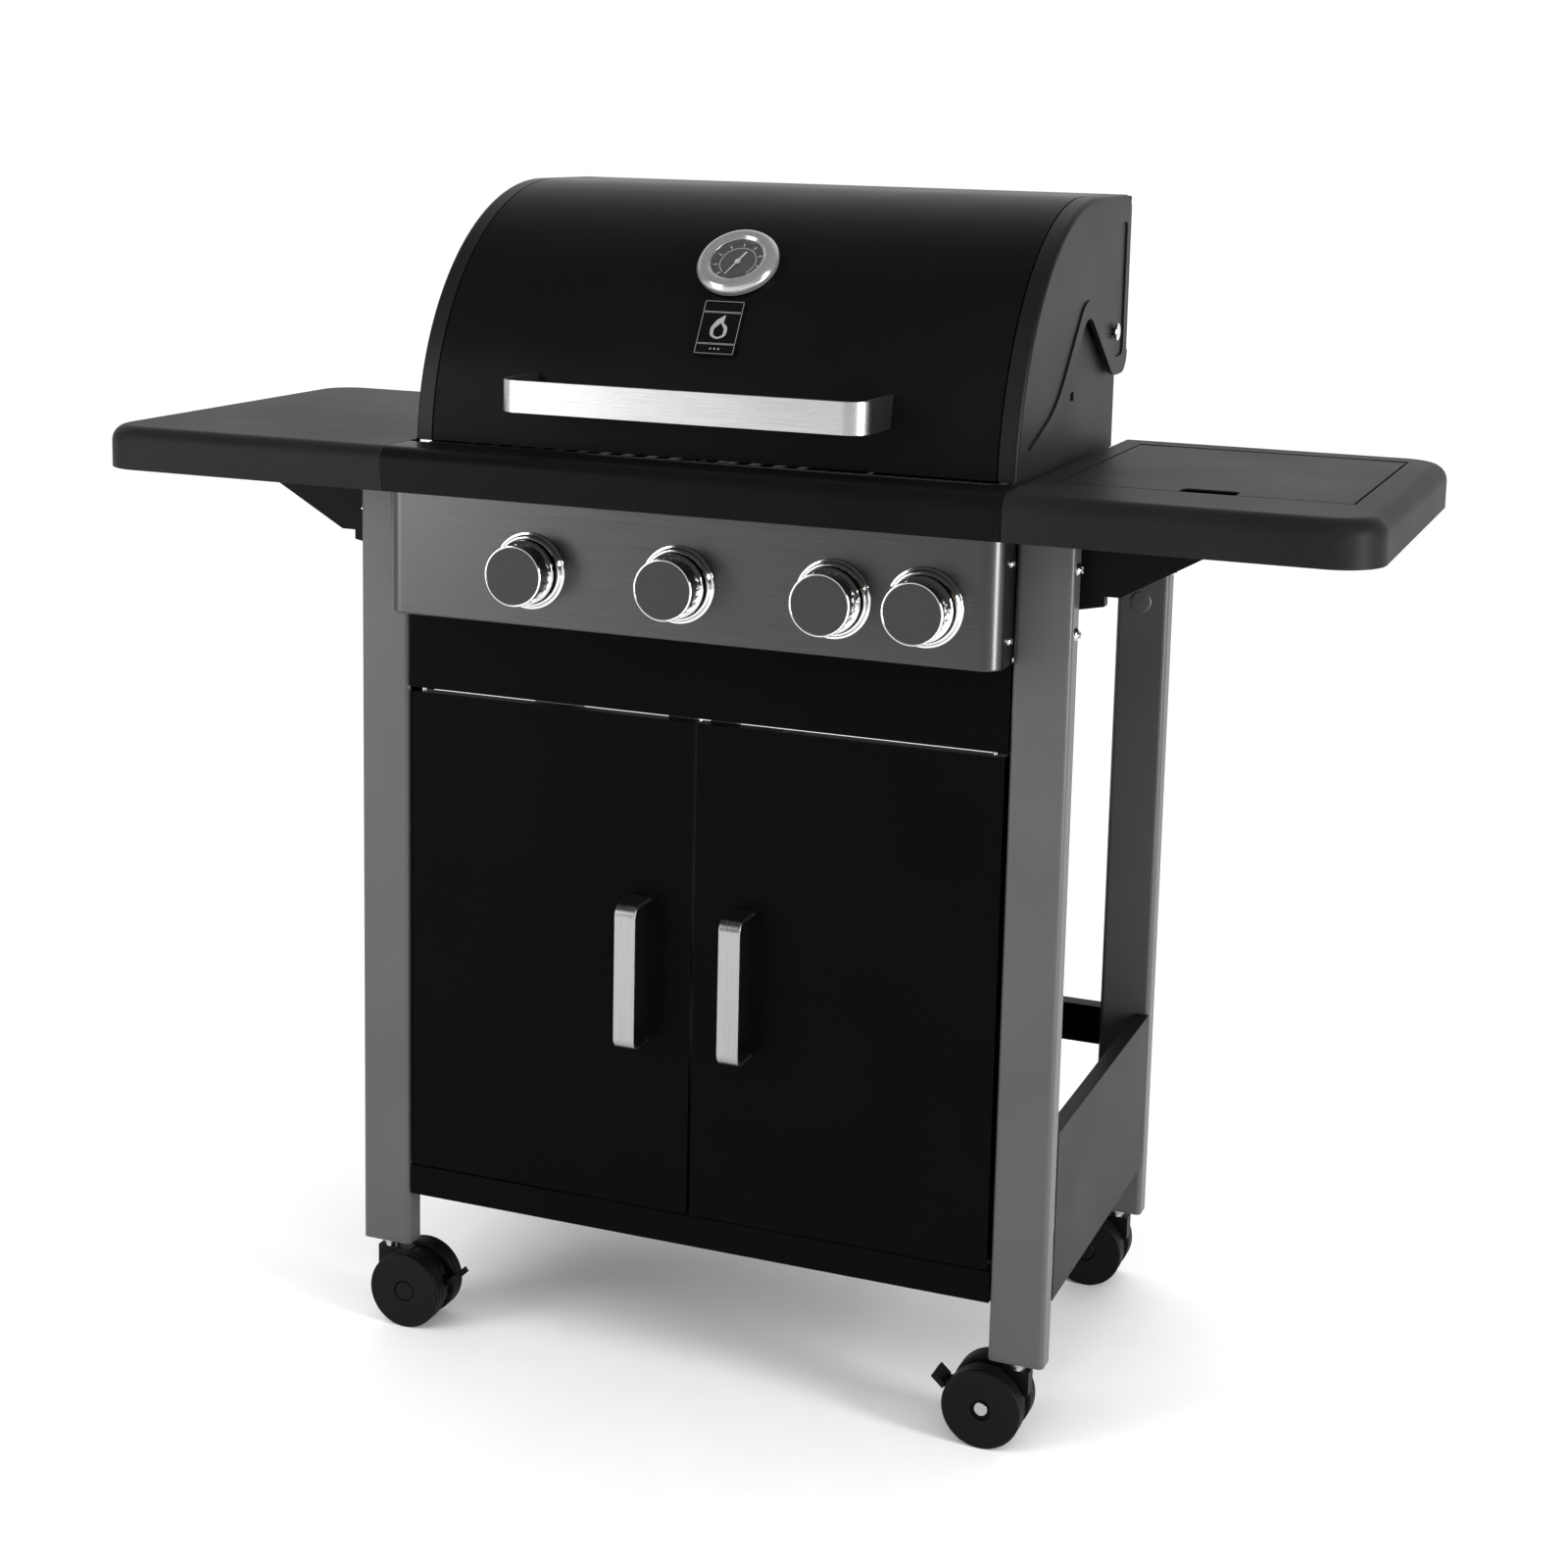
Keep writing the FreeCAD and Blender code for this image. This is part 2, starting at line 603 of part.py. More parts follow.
def firebox():
    """The welded firebox: tub, back wall, side wings for the lid's pivots, tray hangers."""
    half, wall = cell("firebox_half"), cell("wall")
    front, rear = back(cell("firebox_front")), back(cell("firebox_rear"))
    low, rim = cell("firebox_low"), cell("shelf_top") - 1
    tub = pan("firebox_tub", (-half, half), (front, rear), (low, rim), wall, "above")
    holes = [(x, cell("knob_high"), cell("burner_radius") + 1) for x in knob_places()[:3]]
    pocket(tub, "XZ", [], (front - 1, front + wall + 1), holes)
    drain = rectangle((-cell("drain_half"), cell("drain_half")),
                      (back(cell("drain_front")), back(cell("drain_rear"))))
    pocket(tub, "XY", [drain], (low - 1, low + wall + 1))
    pieces = [tub, block("firebox_back", (-half, half), (rear - wall, rear),
                         (rim, cell("firebox_back_high")))]
    toe, lip, thick = rim - cell("wing_toe"), cell("hanger_lip"), cell("hanger_thick")
    slot = rectangle((back(cell("wing_slot_back")),
                      back(cell("wing_slot_back") + cell("wing_slot_wide"))),
                     (cell("wing_slot_low"), cell("wing_slot_low") + cell("wing_slot_high")))
    for side, sign in SIDES.items():
        wing = [(back(WING_FRONT), toe)] + [(back(corner[0]), *corner[1:]) for corner in WING]
        wing += [(rear, WING_REAR_HIGH, WING_REAR_ROUND), (rear, toe)]
        plate = extruded(f"wing_{side}", "YZ", wing, (sign * half, sign * (half + wall)))
        pocket(plate, "YZ", [slot], (sign * (half - 1), sign * (half + wall + 1)))
        pieces.append(plate)
        edge = cell("tray_half") + wall
        ledge = cell("tray_low") - 1
        foot = cell("tray_low") - cell("hanger_drop")
        hanger = [(edge, low), (edge, foot), (edge - lip, foot), (edge - lip, ledge),
                  (edge - thick, ledge), (edge - thick, low)]
        hanger = [(sign * x, z) for x, z in hanger]
        pieces.append(extruded(f"hanger_{side}", "XZ", hanger, (back(cell("hanger_front")), rear)))
    keep(fuse("firebox_welded", pieces), "firebox")


def lid_pivots():
    """Shoulder screws in the wings that the lid's end caps turn on."""
    screws = []
    for side, sign in SIDES.items():
        root = cell("firebox_half") + cell("wall")
        face = cell("lid_half")
        centre = (back(cell("pivot_back")), cell("pivot_high"))
        shank = rod(f"pivot_{side}_shank", "x", cell("pivot_radius"), centre,
                    (sign * root, sign * (face + 1)))
        head = rod(f"pivot_{side}_head", "x", cell("pivot_head"), centre,
                   (sign * (face + cell("pivot_head_low")), sign * (face + cell("pivot_head_top"))))
        screws.append(fuse(f"pivot_{side}", [shank, head]))
    keep(group("pivots", screws), "lid_pivots")


GRATE_SLOTS = 11
CROSS_WIRES = 13


def burners():
    """Three tube burners, their flame tamers, and the two cooking grates above."""
    tubes, tamers = [], []
    start, end = cell("firebox_front") - 3, cell("firebox_rear") - 20
    high, radius = cell("knob_high"), cell("burner_radius")
    for index, x in enumerate(knob_places()[:3]):
        outer = rod(f"burner_{index}_outer", "y", radius, (x, high), (back(start), back(end)))
        inner = rod(f"burner_{index}_inner", "y", radius - cell("burner_wall"), (x, high),
                    (back(start - 1), back(end - 2)))
        tubes.append(cut(f"burner_{index}", outer, inner))
        eave, ridge = high + cell("tamer_low"), high + cell("tamer_low") + cell("tamer_rise")
        half, thick = cell("tamer_half"), cell("tamer_thick")
        roof = [(x - half, eave), (x, ridge), (x + half, eave), (x + half, eave + thick),
                (x, ridge + thick), (x - half, eave + thick)]
        tamers.append(extruded(f"tamer_{index}", "XZ", roof,
                               (back(cell("firebox_front") + 2), back(cell("firebox_rear") - 2))))
    keep(group("burner_set", tubes), "burner_tubes")
    keep(group("tamer_set", tamers), "flame_tamers")

    grates = []
    gap, border = cell("grate_gap"), cell("grate_border")
    half, low = cell("firebox_half") - cell("wall") - gap, cell("grate_low")
    y_span = (back(cell("firebox_front") + 4), back(cell("firebox_rear") - 4))
    for side, sign in SIDES.items():
        body = new_body(f"grate_{side}")
        outline = rectangle((sign * gap, sign * half), y_span)
        pad(body, "XY", [outline], (low, low + cell("grate_thick")))
        slot = rectangle((sign * border, sign * (border + cell("grate_slot"))),
                         (y_span[0] + border, y_span[1] - border))
        opening = pocket(body, "XY", [slot], (low, low + cell("grate_thick")))
        row_of = body.newObject("PartDesign::LinearPattern", f"grate_{side}_row")
        row_of.Originals = [opening]
        row_of.Direction = (opening.Profile[0], ["H_Axis"])
        row_of.Reversed = sign < 0
        row_of.Occurrences = GRATE_SLOTS
        bind(row_of, "Length", cell("grate_pitch") * (GRATE_SLOTS - 1))
        body.Tip = row_of
        grates.append(body)
    keep(group("grate_set", grates), "cooking_grates")


def warming_rack():
    """Long wires between the wings, tied by short cross wires."""
    wire, high, half = cell("rack_wire"), cell("rack_high"), cell("firebox_half")
    front, rear, pitch = cell("rack_front"), cell("rack_rear"), cell("rack_pitch")
    wires = [rod(f"rack_long_{name}", "x", wire, (back(y), high), (-half, half))
             for name, y in (("front", front), ("rear", rear))]
    wires += [rod(f"rack_cross_{index}", "y", wire * 0.7,
                  (pitch * (index - CROSS_WIRES // 2), high), (back(front), back(rear)))
              for index in range(CROSS_WIRES)]
    keep(fuse("rack", wires), "warming_rack")


def grease_tray():
    """A shallow pan on the firebox's hangers, with a drip cup below; it pulls out backwards."""
    half = cell("tray_half")
    low, high, rear = cell("tray_low"), cell("tray_high"), back(cell("tray_rear"))
    drip, lip_half = back(cell("drip_back")), cell("tray_lip_half")
    tray = pan("grease_pan", (-half, half), (back(cell("tray_front")), rear), (low, high), SHEET,
               "above")
    pocket(tray, "XY", [], (low - 1, low + SHEET + 1), [(size(0), drip, cell("drip_hole"))])
    lip_low = high - cell("tray_lip_thick") * 2
    lip = block("tray_lip", (-lip_half, lip_half), (rear, rear + cell("tray_lip")),
                (lip_low, lip_low + cell("tray_lip_thick")))
    deep, foot, mouth = cell("cup_deep"), cell("cup_foot"), cell("cup_mouth")
    cup = turned("grease_cup", [(0, -deep), (foot, -deep), (mouth, 0), (mouth - SHEET, 0),
                                (foot - SHEET, SHEET - deep), (0, SHEET - deep)])
    place(cup, 0, drip, low)
    keep(group("grease_set", [fuse("grease_pan_with_lip", [tray, lip]), cup]), "grease_tray")


# ---------------------------------------------------------------- gas train
MANIFOLD_BACK = -6
MANIFOLD_RADIUS = 8
MANIFOLD_HALF = 262
VALVE_RADIUS = 9
VALVE_BACK = -2
VALVE_LONG = 28
VALVE_BORE = 6
NOZZLE_RADIUS = 4
NOZZLE_LONG = 16
PIPE_RADIUS = 4
FEED_FRONT = 44
FEED_BACK = 175
FEED_HIGH = 836
FEED_TOP = 845
INLET_RADIUS = 7.94
INLET_LONG = 28
INLET_BACK = 70
INLET_HIGH = 700


def gas_train():
    """The manifold with its inlet, the valves, and the pipe to the side burner."""
    valve_high = cell("knob_high")
    high = valve_high + VALVE_RADIUS + MANIFOLD_RADIUS
    y, end = back(MANIFOLD_BACK), MANIFOLD_HALF
    beside = (cell("firebox_half") + cell("wall") + LEG_IN) / 2
    burner_x = (cell("side_lid_left") + cell("side_lid_right")) / 2
    tube = rod("manifold_tube", "x", MANIFOLD_RADIUS, (y, high), (-end, end))
    to_side_burner = piped("side_pipe", [
        (end, y, high), (beside, y, high), (beside, back(FEED_FRONT), high),
        (beside, back(FEED_FRONT), FEED_HIGH), (burner_x, back(FEED_FRONT), FEED_HIGH),
        (burner_x, back(FEED_BACK), FEED_HIGH), (burner_x, back(FEED_BACK), FEED_TOP)])
    inlet_y, inlet_root = back(INLET_BACK), LEG_IN + 4
    to_inlet = piped("inlet_pipe", [
        (-end, y, high), (-beside, y, high), (-beside, inlet_y, high),
        (-beside, inlet_y, INLET_HIGH), (-inlet_root, inlet_y, INLET_HIGH)])
    nipple = rod("inlet_nipple", "x", INLET_RADIUS, (inlet_y, INLET_HIGH),
                 (-inlet_root, -inlet_root - INLET_LONG))
    keep(group("gas_rail", [tube, to_side_burner, to_inlet, nipple]), "gas_manifold")

    bore = cell("stem_radius") + PIN_GAP
    valves = []
    for index, x in enumerate(knob_places()):
        nozzle = [(0, 0)]
        if index < 3:
            nozzle = [(0, -NOZZLE_LONG), (NOZZLE_RADIUS, -NOZZLE_LONG), (NOZZLE_RADIUS, 0)]
        shell = turned(f"valve_{index}", nozzle + [
            (VALVE_RADIUS, 0), (VALVE_RADIUS, VALVE_LONG), (bore, VALVE_LONG), (bore, VALVE_BORE),
            (0, VALVE_BORE)])
        valves.append(place(shell, x, back(VALVE_BACK), valve_high, FACING_FRONT))
    keep(group("valve_set", valves), "gas_valves")


def piped(name, corners):
    """A solid round pipe along straight runs joined by arcs."""
    bend = PIPE_RADIUS * 1.75
    points = [Vector(*(size(value).value for value in corner)) for corner in corners]
    edges, start = [], points[0]
    for before, here, after in zip(points, points[1:], points[2:]):
        into, away = (here - before).normalize(), (after - here).normalize()
        run = bend * math.tan(into.getAngle(away) / 2)
        first, last = here - into * run, here + away * run
        inward = (away - into).normalize()
        middle = here + inward * (math.hypot(run, bend) - bend)
        edges += [Part.LineSegment(start, first).toShape(), Part.Arc(first, middle, last).toShape()]
        start = last
    edges.append(Part.LineSegment(start, points[-1]).toShape())
    circle = Part.makeCircle(PIPE_RADIUS, points[0], (points[1] - points[0]).normalize())
    feature = doc.addObject("Part::Feature", name)
    feature.Shape = Part.Wire(edges).makePipeShell([Part.Wire([circle])], True, False)
    return feature


def knobs():
    """Each knob slides on its valve stem, which turns in the valve; bezels ring the panel."""
    front, high = -cell("knob_reach"), cell("knob_high")
    stem, radius, travel = cell("stem_radius"), cell("knob_radius"), cell("knob_travel")
    depth = cell("knob_reach") - cell("panel_reach") - cell("bezel_thick") - travel - 1
    bore, skirt = stem + PIN_GAP, cell("knob_skirt")
    skirt_high, grip = cell("knob_skirt_high"), cell("stem_grip")
    ring_bore, ring, thick = cell("bezel_bore"), cell("bezel_radius"), cell("bezel_thick")
    bezels = []
    for index, x in enumerate(knob_places(), start=1):
        bezel = turned(f"bezel_{index}", [
            (ring_bore, 0), (ring, 0), (ring, cell("bezel_rim")),
            (ring - cell("bezel_slope"), thick), (ring_bore, thick)])
        bezels.append(place(bezel, x, back(-cell("panel_reach")), high, FACING_FRONT))
        seat = VALVE_BACK - grip
        length = cell("knob_reach") - travel - grip + seat
        shaft = turned(f"stem_{index}", [(0, 0), (stem, 0), (stem, length), (0, length)])
        keep(place(shaft, x, back(seat), high, FACING_FRONT), f"valve_stem_{index}")
        socket = depth - grip + skirt_high
        body = turned(f"knob_body_{index}", [
            (bore, 0), (radius + skirt, 0), (radius + skirt, skirt_high),
            (radius, skirt_high + skirt), (radius, depth - skirt), (radius - skirt, depth),
            (0, depth), (0, socket), (bore, socket)])
        keep(place(body, x, back(front + depth), high, FACING_FRONT), f"knob_{index}")
    keep(group("bezel_set", bezels), "knob_bezels")


# ---------------------------------------------------------------- doors
def doors():
    """Two pan doors on pins, their bar pulls, and the magnets that hold them shut."""
    low, high, deep = cell("door_low"), cell("door_high"), cell("door_deep")
    edge, gap = cell("door_edge"), cell("door_gap")
    hinge_x, hinge_y = edge - cell("door_hinge_in"), back(cell("door_hinge_back"))
    pin = cell("hinge_pin_radius")
    pins = []
    for side, sign in SIDES.items():
        x_span = low_high(sign * gap, sign * edge)
        body = new_body(f"door_pan_{side}")
        pad(body, "XZ", [rectangle(x_span, (low, high))], (back(0), back(deep)))
        hollow = rectangle((x_span[0] + SHEET, x_span[1] - SHEET), (low + SHEET, high - SHEET))
        pocket(body, "XZ", [hollow], (back(SHEET), back(deep)))
        pocket(body, "XY", [], (low - 1, high + 1), [(sign * hinge_x, hinge_y, pin + PIN_GAP)])
        keep(body, f"door_{side}")
        pins.append(rod(f"pin_low_{side}", "z", pin, (sign * hinge_x, hinge_y),
                        (cell("base_high"), low + 8)))
        pins.append(rod(f"pin_high_{side}", "z", pin, (sign * hinge_x, hinge_y),
                        (high - 8, cell("header_low"))))
        reach, thick, bend = cell("pull_reach"), cell("pull_thick"), cell("pull_bend")
        first, last = cell("pull_low"), cell("pull_high")
        outline = [(back(0), first), (back(-reach), first, bend), (back(-reach), last, bend),
                   (back(0), last), (back(0), last - thick),
                   (back(thick - reach), last - thick, bend - thick),
                   (back(thick - reach), first + thick, bend - thick), (back(0), first + thick)]
        centre, half = sign * cell("pull_centre"), cell("pull_width") / 2
        keep(extruded(f"pull_{side}", "YZ", outline, (centre - half, centre + half)),
             f"door_handle_{side}")
    left, right = cell("side_lid_left"), cell("side_lid_right")
    pins.append(rod("side_lid_pin", "x", cell("side_pin"), side_lid_barrel(),
                    (left - cell("side_lid_gap"), right + cell("side_lid_gap"))))
    keep(group("pins", pins), "hinge_pins")
    magnets = [block(f"magnet_{side}", (sign * 8, sign * 34), (back(deep + 1), back(deep + 13)),
                     (high - 22, cell("header_low"))) for side, sign in SIDES.items()]
    keep(group("magnet_set", magnets), "door_magnets")


# ---------------------------------------------------------------- lid
def lid_outer(inset):
    """The front, top and rear corners of the lid's side view, moved inwards by inset."""
    front, lean, top = back(cell("lid_front") + inset), cell("lid_lean"), cell("lid_top") - inset
    rear = back(cell("lid_rear") - inset)
    return [(front, cell("lid_low")), (front + lean, top, cell("lid_arc") - inset),
            (rear, top, cell("lid_rear_corner") - inset)]


def lid_shell():
    """The curved sheet between the two end caps."""
    wall = cell("lid_wall")
    outer, inner = lid_outer(size(0)), lid_outer(wall)
    rear, low = back(cell("lid_rear")), cell("lid_rear_low")
    half = cell("lid_half") - cell("cap_width") - cell("cap_gap")
    outline = outer + [(rear, low), (rear - wall, low)] + inner[::-1]
    keep(extruded("lid_sheet", "YZ", outline, (-half, half)), "lid_shell")


# The cap's lower edge: distance behind the legs' faces, height and radius of each corner.
CAP_EDGE = ((379, 949, 22), (327, 948, 40), (228, 1018, 26), (134.5, 919, 150))


def lid_cap(side):
    """A die-cast end cap: a side plate with a lobed lower edge, and a rim along the arc."""
    sign = SIDES[side]
    face = cell("lid_half")
    body = new_body(f"cap_{side}")
    plate = lid_outer(size(0)) + [(back(y), *rest) for y, *rest in CAP_EDGE]
    span = (sign * (face - cell("cap_plate")), sign * face)
    pivot = (back(cell("pivot_back")), cell("pivot_high"), cell("pivot_radius") + PIN_GAP)
    pad(body, "YZ", [plate], span, [pivot])
    rim = cell("cap_rim")
    outer, inner = lid_outer(size(0))[:2], lid_outer(rim)[:2]
    end = back(cell("cap_rim_end"))
    band = outer + [(end, cell("lid_top")), (end, cell("lid_top") - rim)] + inner[::-1]
    pad(body, "YZ", [band], (sign * (face - cell("cap_width")), sign * (face - cell("cap_plate"))))
    keep(body, f"lid_cap_{side}")


def lid_handle():
    """A flat bar bent back at both ends to the lid's face."""
    half, reach, thick = cell("handle_half"), cell("handle_reach"), cell("handle_thick")
    bend, end = cell("handle_bend"), back(30)
    outline = [(-half, end), (-half, back(-reach), bend), (half, back(-reach), bend), (half, end),
               (half - thick, end), (half - thick, back(thick - reach), bend - thick),
               (thick - half, back(thick - reach), bend - thick), (thick - half, end)]
    bar = extruded("handle_bar", "XY", outline, (cell("handle_low"), cell("handle_high")))
    curve = rod("handle_seat", "x", cell("lid_arc") + 0.3,
                (back(cell("lid_arc_back")), cell("lid_arc_high")),
                (-half - 1, half + 1))
    keep(cut("handle_fitted", bar, curve), "lid_handle")


def on_lid(thing, angle, lift):
    """Stand a turned piece on the lid's arc at an angle above the horizontal."""
    slope = math.radians(cell(angle).value)
    radius = cell("lid_arc") + 0.05 + lift
    turn = Rotation(Vector(1, 0, 0), 90 - cell(angle).value)
    y = back(cell("lid_arc_back")) - radius * math.cos(slope)
    z = cell("lid_arc_high") + radius * math.sin(slope)
    return place(thing, 0, y, z, turn)


NEEDLE_LEAN = 25


def thermometer():
    """A dial gauge: can with bezel, dial, turning needle and glass, its probe in the lid."""
    radius, window, stand = cell("gauge_radius"), cell("gauge_window"), cell("gauge_stand")
    can = turned("gauge_can", [
        (0, 0), (radius - 8, 0), (radius, 3), (radius, stand - 4), (radius - 3, stand),
        (window + 4, stand), (window, stand - 2), (window, 4), (0, 4)])
    keep(on_lid(can, "gauge_angle", 0), "thermometer_body")
    dial = turned("gauge_dial", [(0, 0), (window - 0.3, 0), (window - 0.3, 1), (0, 1)])
    keep(on_lid(dial, "gauge_angle", 4), "thermometer_dial")
    needle = new_body("gauge_needle")
    lean = math.radians(NEEDLE_LEAN)
    along, across = (-math.sin(lean), -math.cos(lean)), (math.cos(lean), -math.sin(lean))
    blade = [(along[0] * far + across[0] * wide, along[1] * far + across[1] * wide)
             for far, wide in ((-15, -1.3), (-15, 1.3), (19, 0.5), (19, -0.5))]
    pad(needle, "XY", [blade], (0, 0.6))
    pad(needle, "XY", [], (0, 1.2), [(0, 0, 3)])
    keep(on_lid(needle, "gauge_angle", 5.6), "thermometer_needle")
    glass = turned("gauge_glass", [(0, 0), (window - 0.3, 0), (window - 0.3, 1.5), (0, 1.5)])
    keep(on_lid(glass, "gauge_angle", 8), "thermometer_glass")
    badge = new_body("badge_plate")
    width, height = cell("badge_width") / 2, cell("badge_height") / 2
    pad(badge, "XY", [rounded((-width, width), (-height, height), 2)], (0, cell("badge_thick")))
    keep(on_lid(badge, "badge_angle", 0), "badge")


# ---------------------------------------------------------------- side burner
BURNER_HEAD = ((0, 0), (22, 0), (34, 6), (34, 13), (30, 15), (0, 16))
SUPPORT_BARS = (-108, -35, 30, 103)
LID_HINGE_ROOM = 6
PIN_DROP = 3


def side_lid_barrel():
    """Y and Z of the side burner lid's hinge pin."""
    return back(cell("side_lid_back") - PIN_DROP), cell("shelf_top") - PIN_DROP


def side_burner():
    """Drop-in bowl, burner head, pan support, and the flush lid on its hinge pin."""
    left, right = cell("side_lid_left"), cell("side_lid_right")
    front, rear = cell("side_lid_front"), cell("side_lid_back")
    centre_x, centre_y = (left + right) / 2, back((front + rear) / 2)
    gap, wall, flange = cell("side_lid_gap"), cell("bowl_wall"), cell("bowl_flange")
    floor = SHELF_UNDER - cell("bowl_deep")
    rim = block("bowl_rim", (left - flange, right + flange),
                (back(front - flange), back(rear + flange)), (SHELF_UNDER - SHEET, SHELF_UNDER))
    outer = gap + wall
    outside = block("bowl_outside", (left - outer, right + outer),
                    (back(front - outer), back(rear + outer)), (floor, SHELF_UNDER))
    hollow = block("bowl_inside", (left - gap, right + gap), (back(front - gap), back(rear + gap)),
                   (floor + wall, SHELF_UNDER + 1))
    keep(cut("bowl", fuse("bowl_solid", [rim, outside]), hollow), "side_burner_bowl")
    head = turned("burner_head", BURNER_HEAD)
    keep(place(head, centre_x, centre_y, floor + wall), "side_burner_head")

    bar, half, foot = cell("support_bar"), cell("support_half"), cell("support_foot")
    support_low = floor + cell("support_low")
    support_high = support_low + bar
    bars = []
    for name, spot in (("x1", -foot), ("x2", foot)):
        bars.append(block(f"support_{name}", (centre_x + spot, centre_x + spot + bar),
                          (centre_y - half, centre_y + half), (floor + wall, support_high)))
    for index, spot in enumerate(SUPPORT_BARS):
        bars.append(block(f"support_y{index}", (centre_x - foot, centre_x + foot + bar),
                          (centre_y + spot, centre_y + spot + bar), (support_low, support_high)))
    keep(fuse("support", bars), "side_burner_grate")

    top = cell("shelf_top")
    lid = new_body("flush_lid")
    thick, edge_wall, deep = cell("side_lid_sheet"), cell("side_lid_wall"), cell("side_lid_edge")
    notch_end, round_size = back(front + cell("notch_deep")), cell("notch_corner")
    notch = [(cell("notch_left"), back(front) - 1), (cell("notch_right"), back(front) - 1),
             (cell("notch_right"), notch_end, round_size),
             (cell("notch_left"), notch_end, round_size)]
    lid_rear = rear - LID_HINGE_ROOM
    outline = rectangle((left, right), (back(front), back(lid_rear)))
    pad(lid, "XY", [outline], (top - thick, top))
    edge = rectangle((left + edge_wall, right - edge_wall),
                     (back(front + edge_wall), back(lid_rear - edge_wall)))
    pad(lid, "XY", [outline, edge], (top - deep, top - thick))
    pocket(lid, "XY", [notch], (top - deep - 1, top + 1))
    barrel = side_lid_barrel()
    span = (left + cell("side_knuckle_in"), right - cell("side_knuckle_in"))
    knuckle = rod("side_lid_knuckle", "x", cell("side_knuckle"), barrel, span)
    bridge = block("side_lid_bridge", span, (back(lid_rear - 1), barrel[0]),
                   (barrel[1], top - thick))
    bore = rod("side_lid_bore", "x", cell("side_pin") + PIN_GAP, barrel, (left, right))
    leaf = cut("side_lid_hinge", fuse("side_lid_knuckles", [knuckle, bridge]), bore)
    keep(fuse("side_lid", [lid, leaf]), "side_burner_lid")


# ---------------------------------------------------------------- casters
PEDAL_OUT = 28
PEDAL_UP = 8
PEDAL_PIN = 2
EAR_HALF = 3
SPIGOT_HIGH = 72


def casters():
    """Twin-wheel casters: a swivelling housing, wheels on their axle, brakes at the front."""
    radius, width, offset = cell("wheel_radius"), cell("wheel_width"), cell("caster_offset")
    web, half = cell("caster_web") / 2, cell("caster_width") / 2
    top = cell("leg_foot") - 2.5
    for name, x, y, sign in caster_places():
        hub_x = x - sign * offset
        braked = name.startswith("front")
        pieces = [
            rod(f"web_{name}", "y", radius - 4, (hub_x, radius), (y - web, y + web)),
            block(f"arm_{name}", (hub_x + sign * 4, x + sign * 12), (y - web, y + web),
                  (radius + 12, SPIGOT_HIGH)),
            rod(f"spigot_{name}", "z", 7, (x, y), (SPIGOT_HIGH, top)),
            rod(f"post_{name}", "z", cell("caster_stem"), (x, y), (SPIGOT_HIGH, top + 28))]
        bores = [rod(f"axle_bore_{name}", "y", cell("axle_radius") + PIN_GAP, (hub_x, radius),
                     (y - web - 1, y + web + 1))]
        if braked:
            pivot = (hub_x - sign * PEDAL_OUT, radius + PEDAL_UP)
            bores.append(rod(f"pedal_bore_{name}", "y", PEDAL_PIN + PIN_GAP, pivot, (y - 4, y + 4)))
            for where, span in (("a", (y - web - 1, y - EAR_HALF)), ("b", (y + EAR_HALF, y + web + 1))):
                bores.append(block(f"ear_room_{name}_{where}", (hub_x - sign * 19, hub_x - sign * 40),
                                   span, (radius - 8, radius + 30)))
            brake_pedal(name, hub_x, y, sign, pivot)
        housing = cut(f"housing_{name}", fuse(f"housing_solid_{name}", pieces),
                      fuse(f"housing_bores_{name}", bores))
        keep(housing, f"caster_housing_{name}")

        wheels = [rod(f"wheel_{name}_{where}", "y", radius, (hub_x, radius), span) for where, span in (
            ("front", (y - half, y - half + width)), ("rear", (y + half - width, y + half)))]
        axle = rod(f"axle_{name}", "y", cell("axle_radius"), (hub_x, radius),
                   (y - half + width, y + half - width))
        keep(group(f"wheel_pair_{name}", wheels + [axle]), f"caster_wheels_{name}")


def brake_pedal(name, hub_x, y, sign, pivot):
    """A foot pedal that rises outwards from a pin through the housing's ear."""
    radius = cell("wheel_radius")

    def side_view(points):
        return [(hub_x - sign * out, radius + up) for out, up in points]

    pieces = [rod(f"pedal_pin_{name}", "y", PEDAL_PIN, pivot, (y - 6, y + 6))]
    arm = side_view([(28, 3.5), (42, 5.5), (41, 12), (28, 12.5)])
    for where, span in (("a", (y - 6.8, y - 3.3)), ("b", (y + 3.3, y + 6.8))):
        pieces.append(rod(f"pedal_eye_{name}_{where}", "y", 4.5, pivot, span))
        pieces.append(extruded(f"pedal_arm_{name}_{where}", "XZ", arm, span))
    plate = side_view([(41, 5.3), (52.5, 15.5), (49, 20), (39.6, 11.5)])
    pieces.append(extruded(f"pedal_plate_{name}", "XZ", plate, (y - 11, y + 11)))
    keep(fuse(f"pedal_{name}", pieces), f"brake_pedal_{name.split('_')[1]}")


def build():
    for depth_name in ("front", "rear"):
        legs = [leg(side, depth_name) for side in SIDES]
        keep(group(f"legs_{depth_name}", legs), f"{depth_name}_legs")
    caster_sockets()
    base_and_sides()
    fronts()
    for side in SIDES:
        shelf(side)
    shelf_brackets()
    frame_screws()
    firebox()
    lid_pivots()
    burners()
    warming_rack()
    grease_tray()
    gas_train()
    knobs()
    doors()
    lid_shell()
    for side in SIDES:
        lid_cap(side)
    lid_handle()
    thermometer()
    side_burner()
    casters()
    doc.recompute()


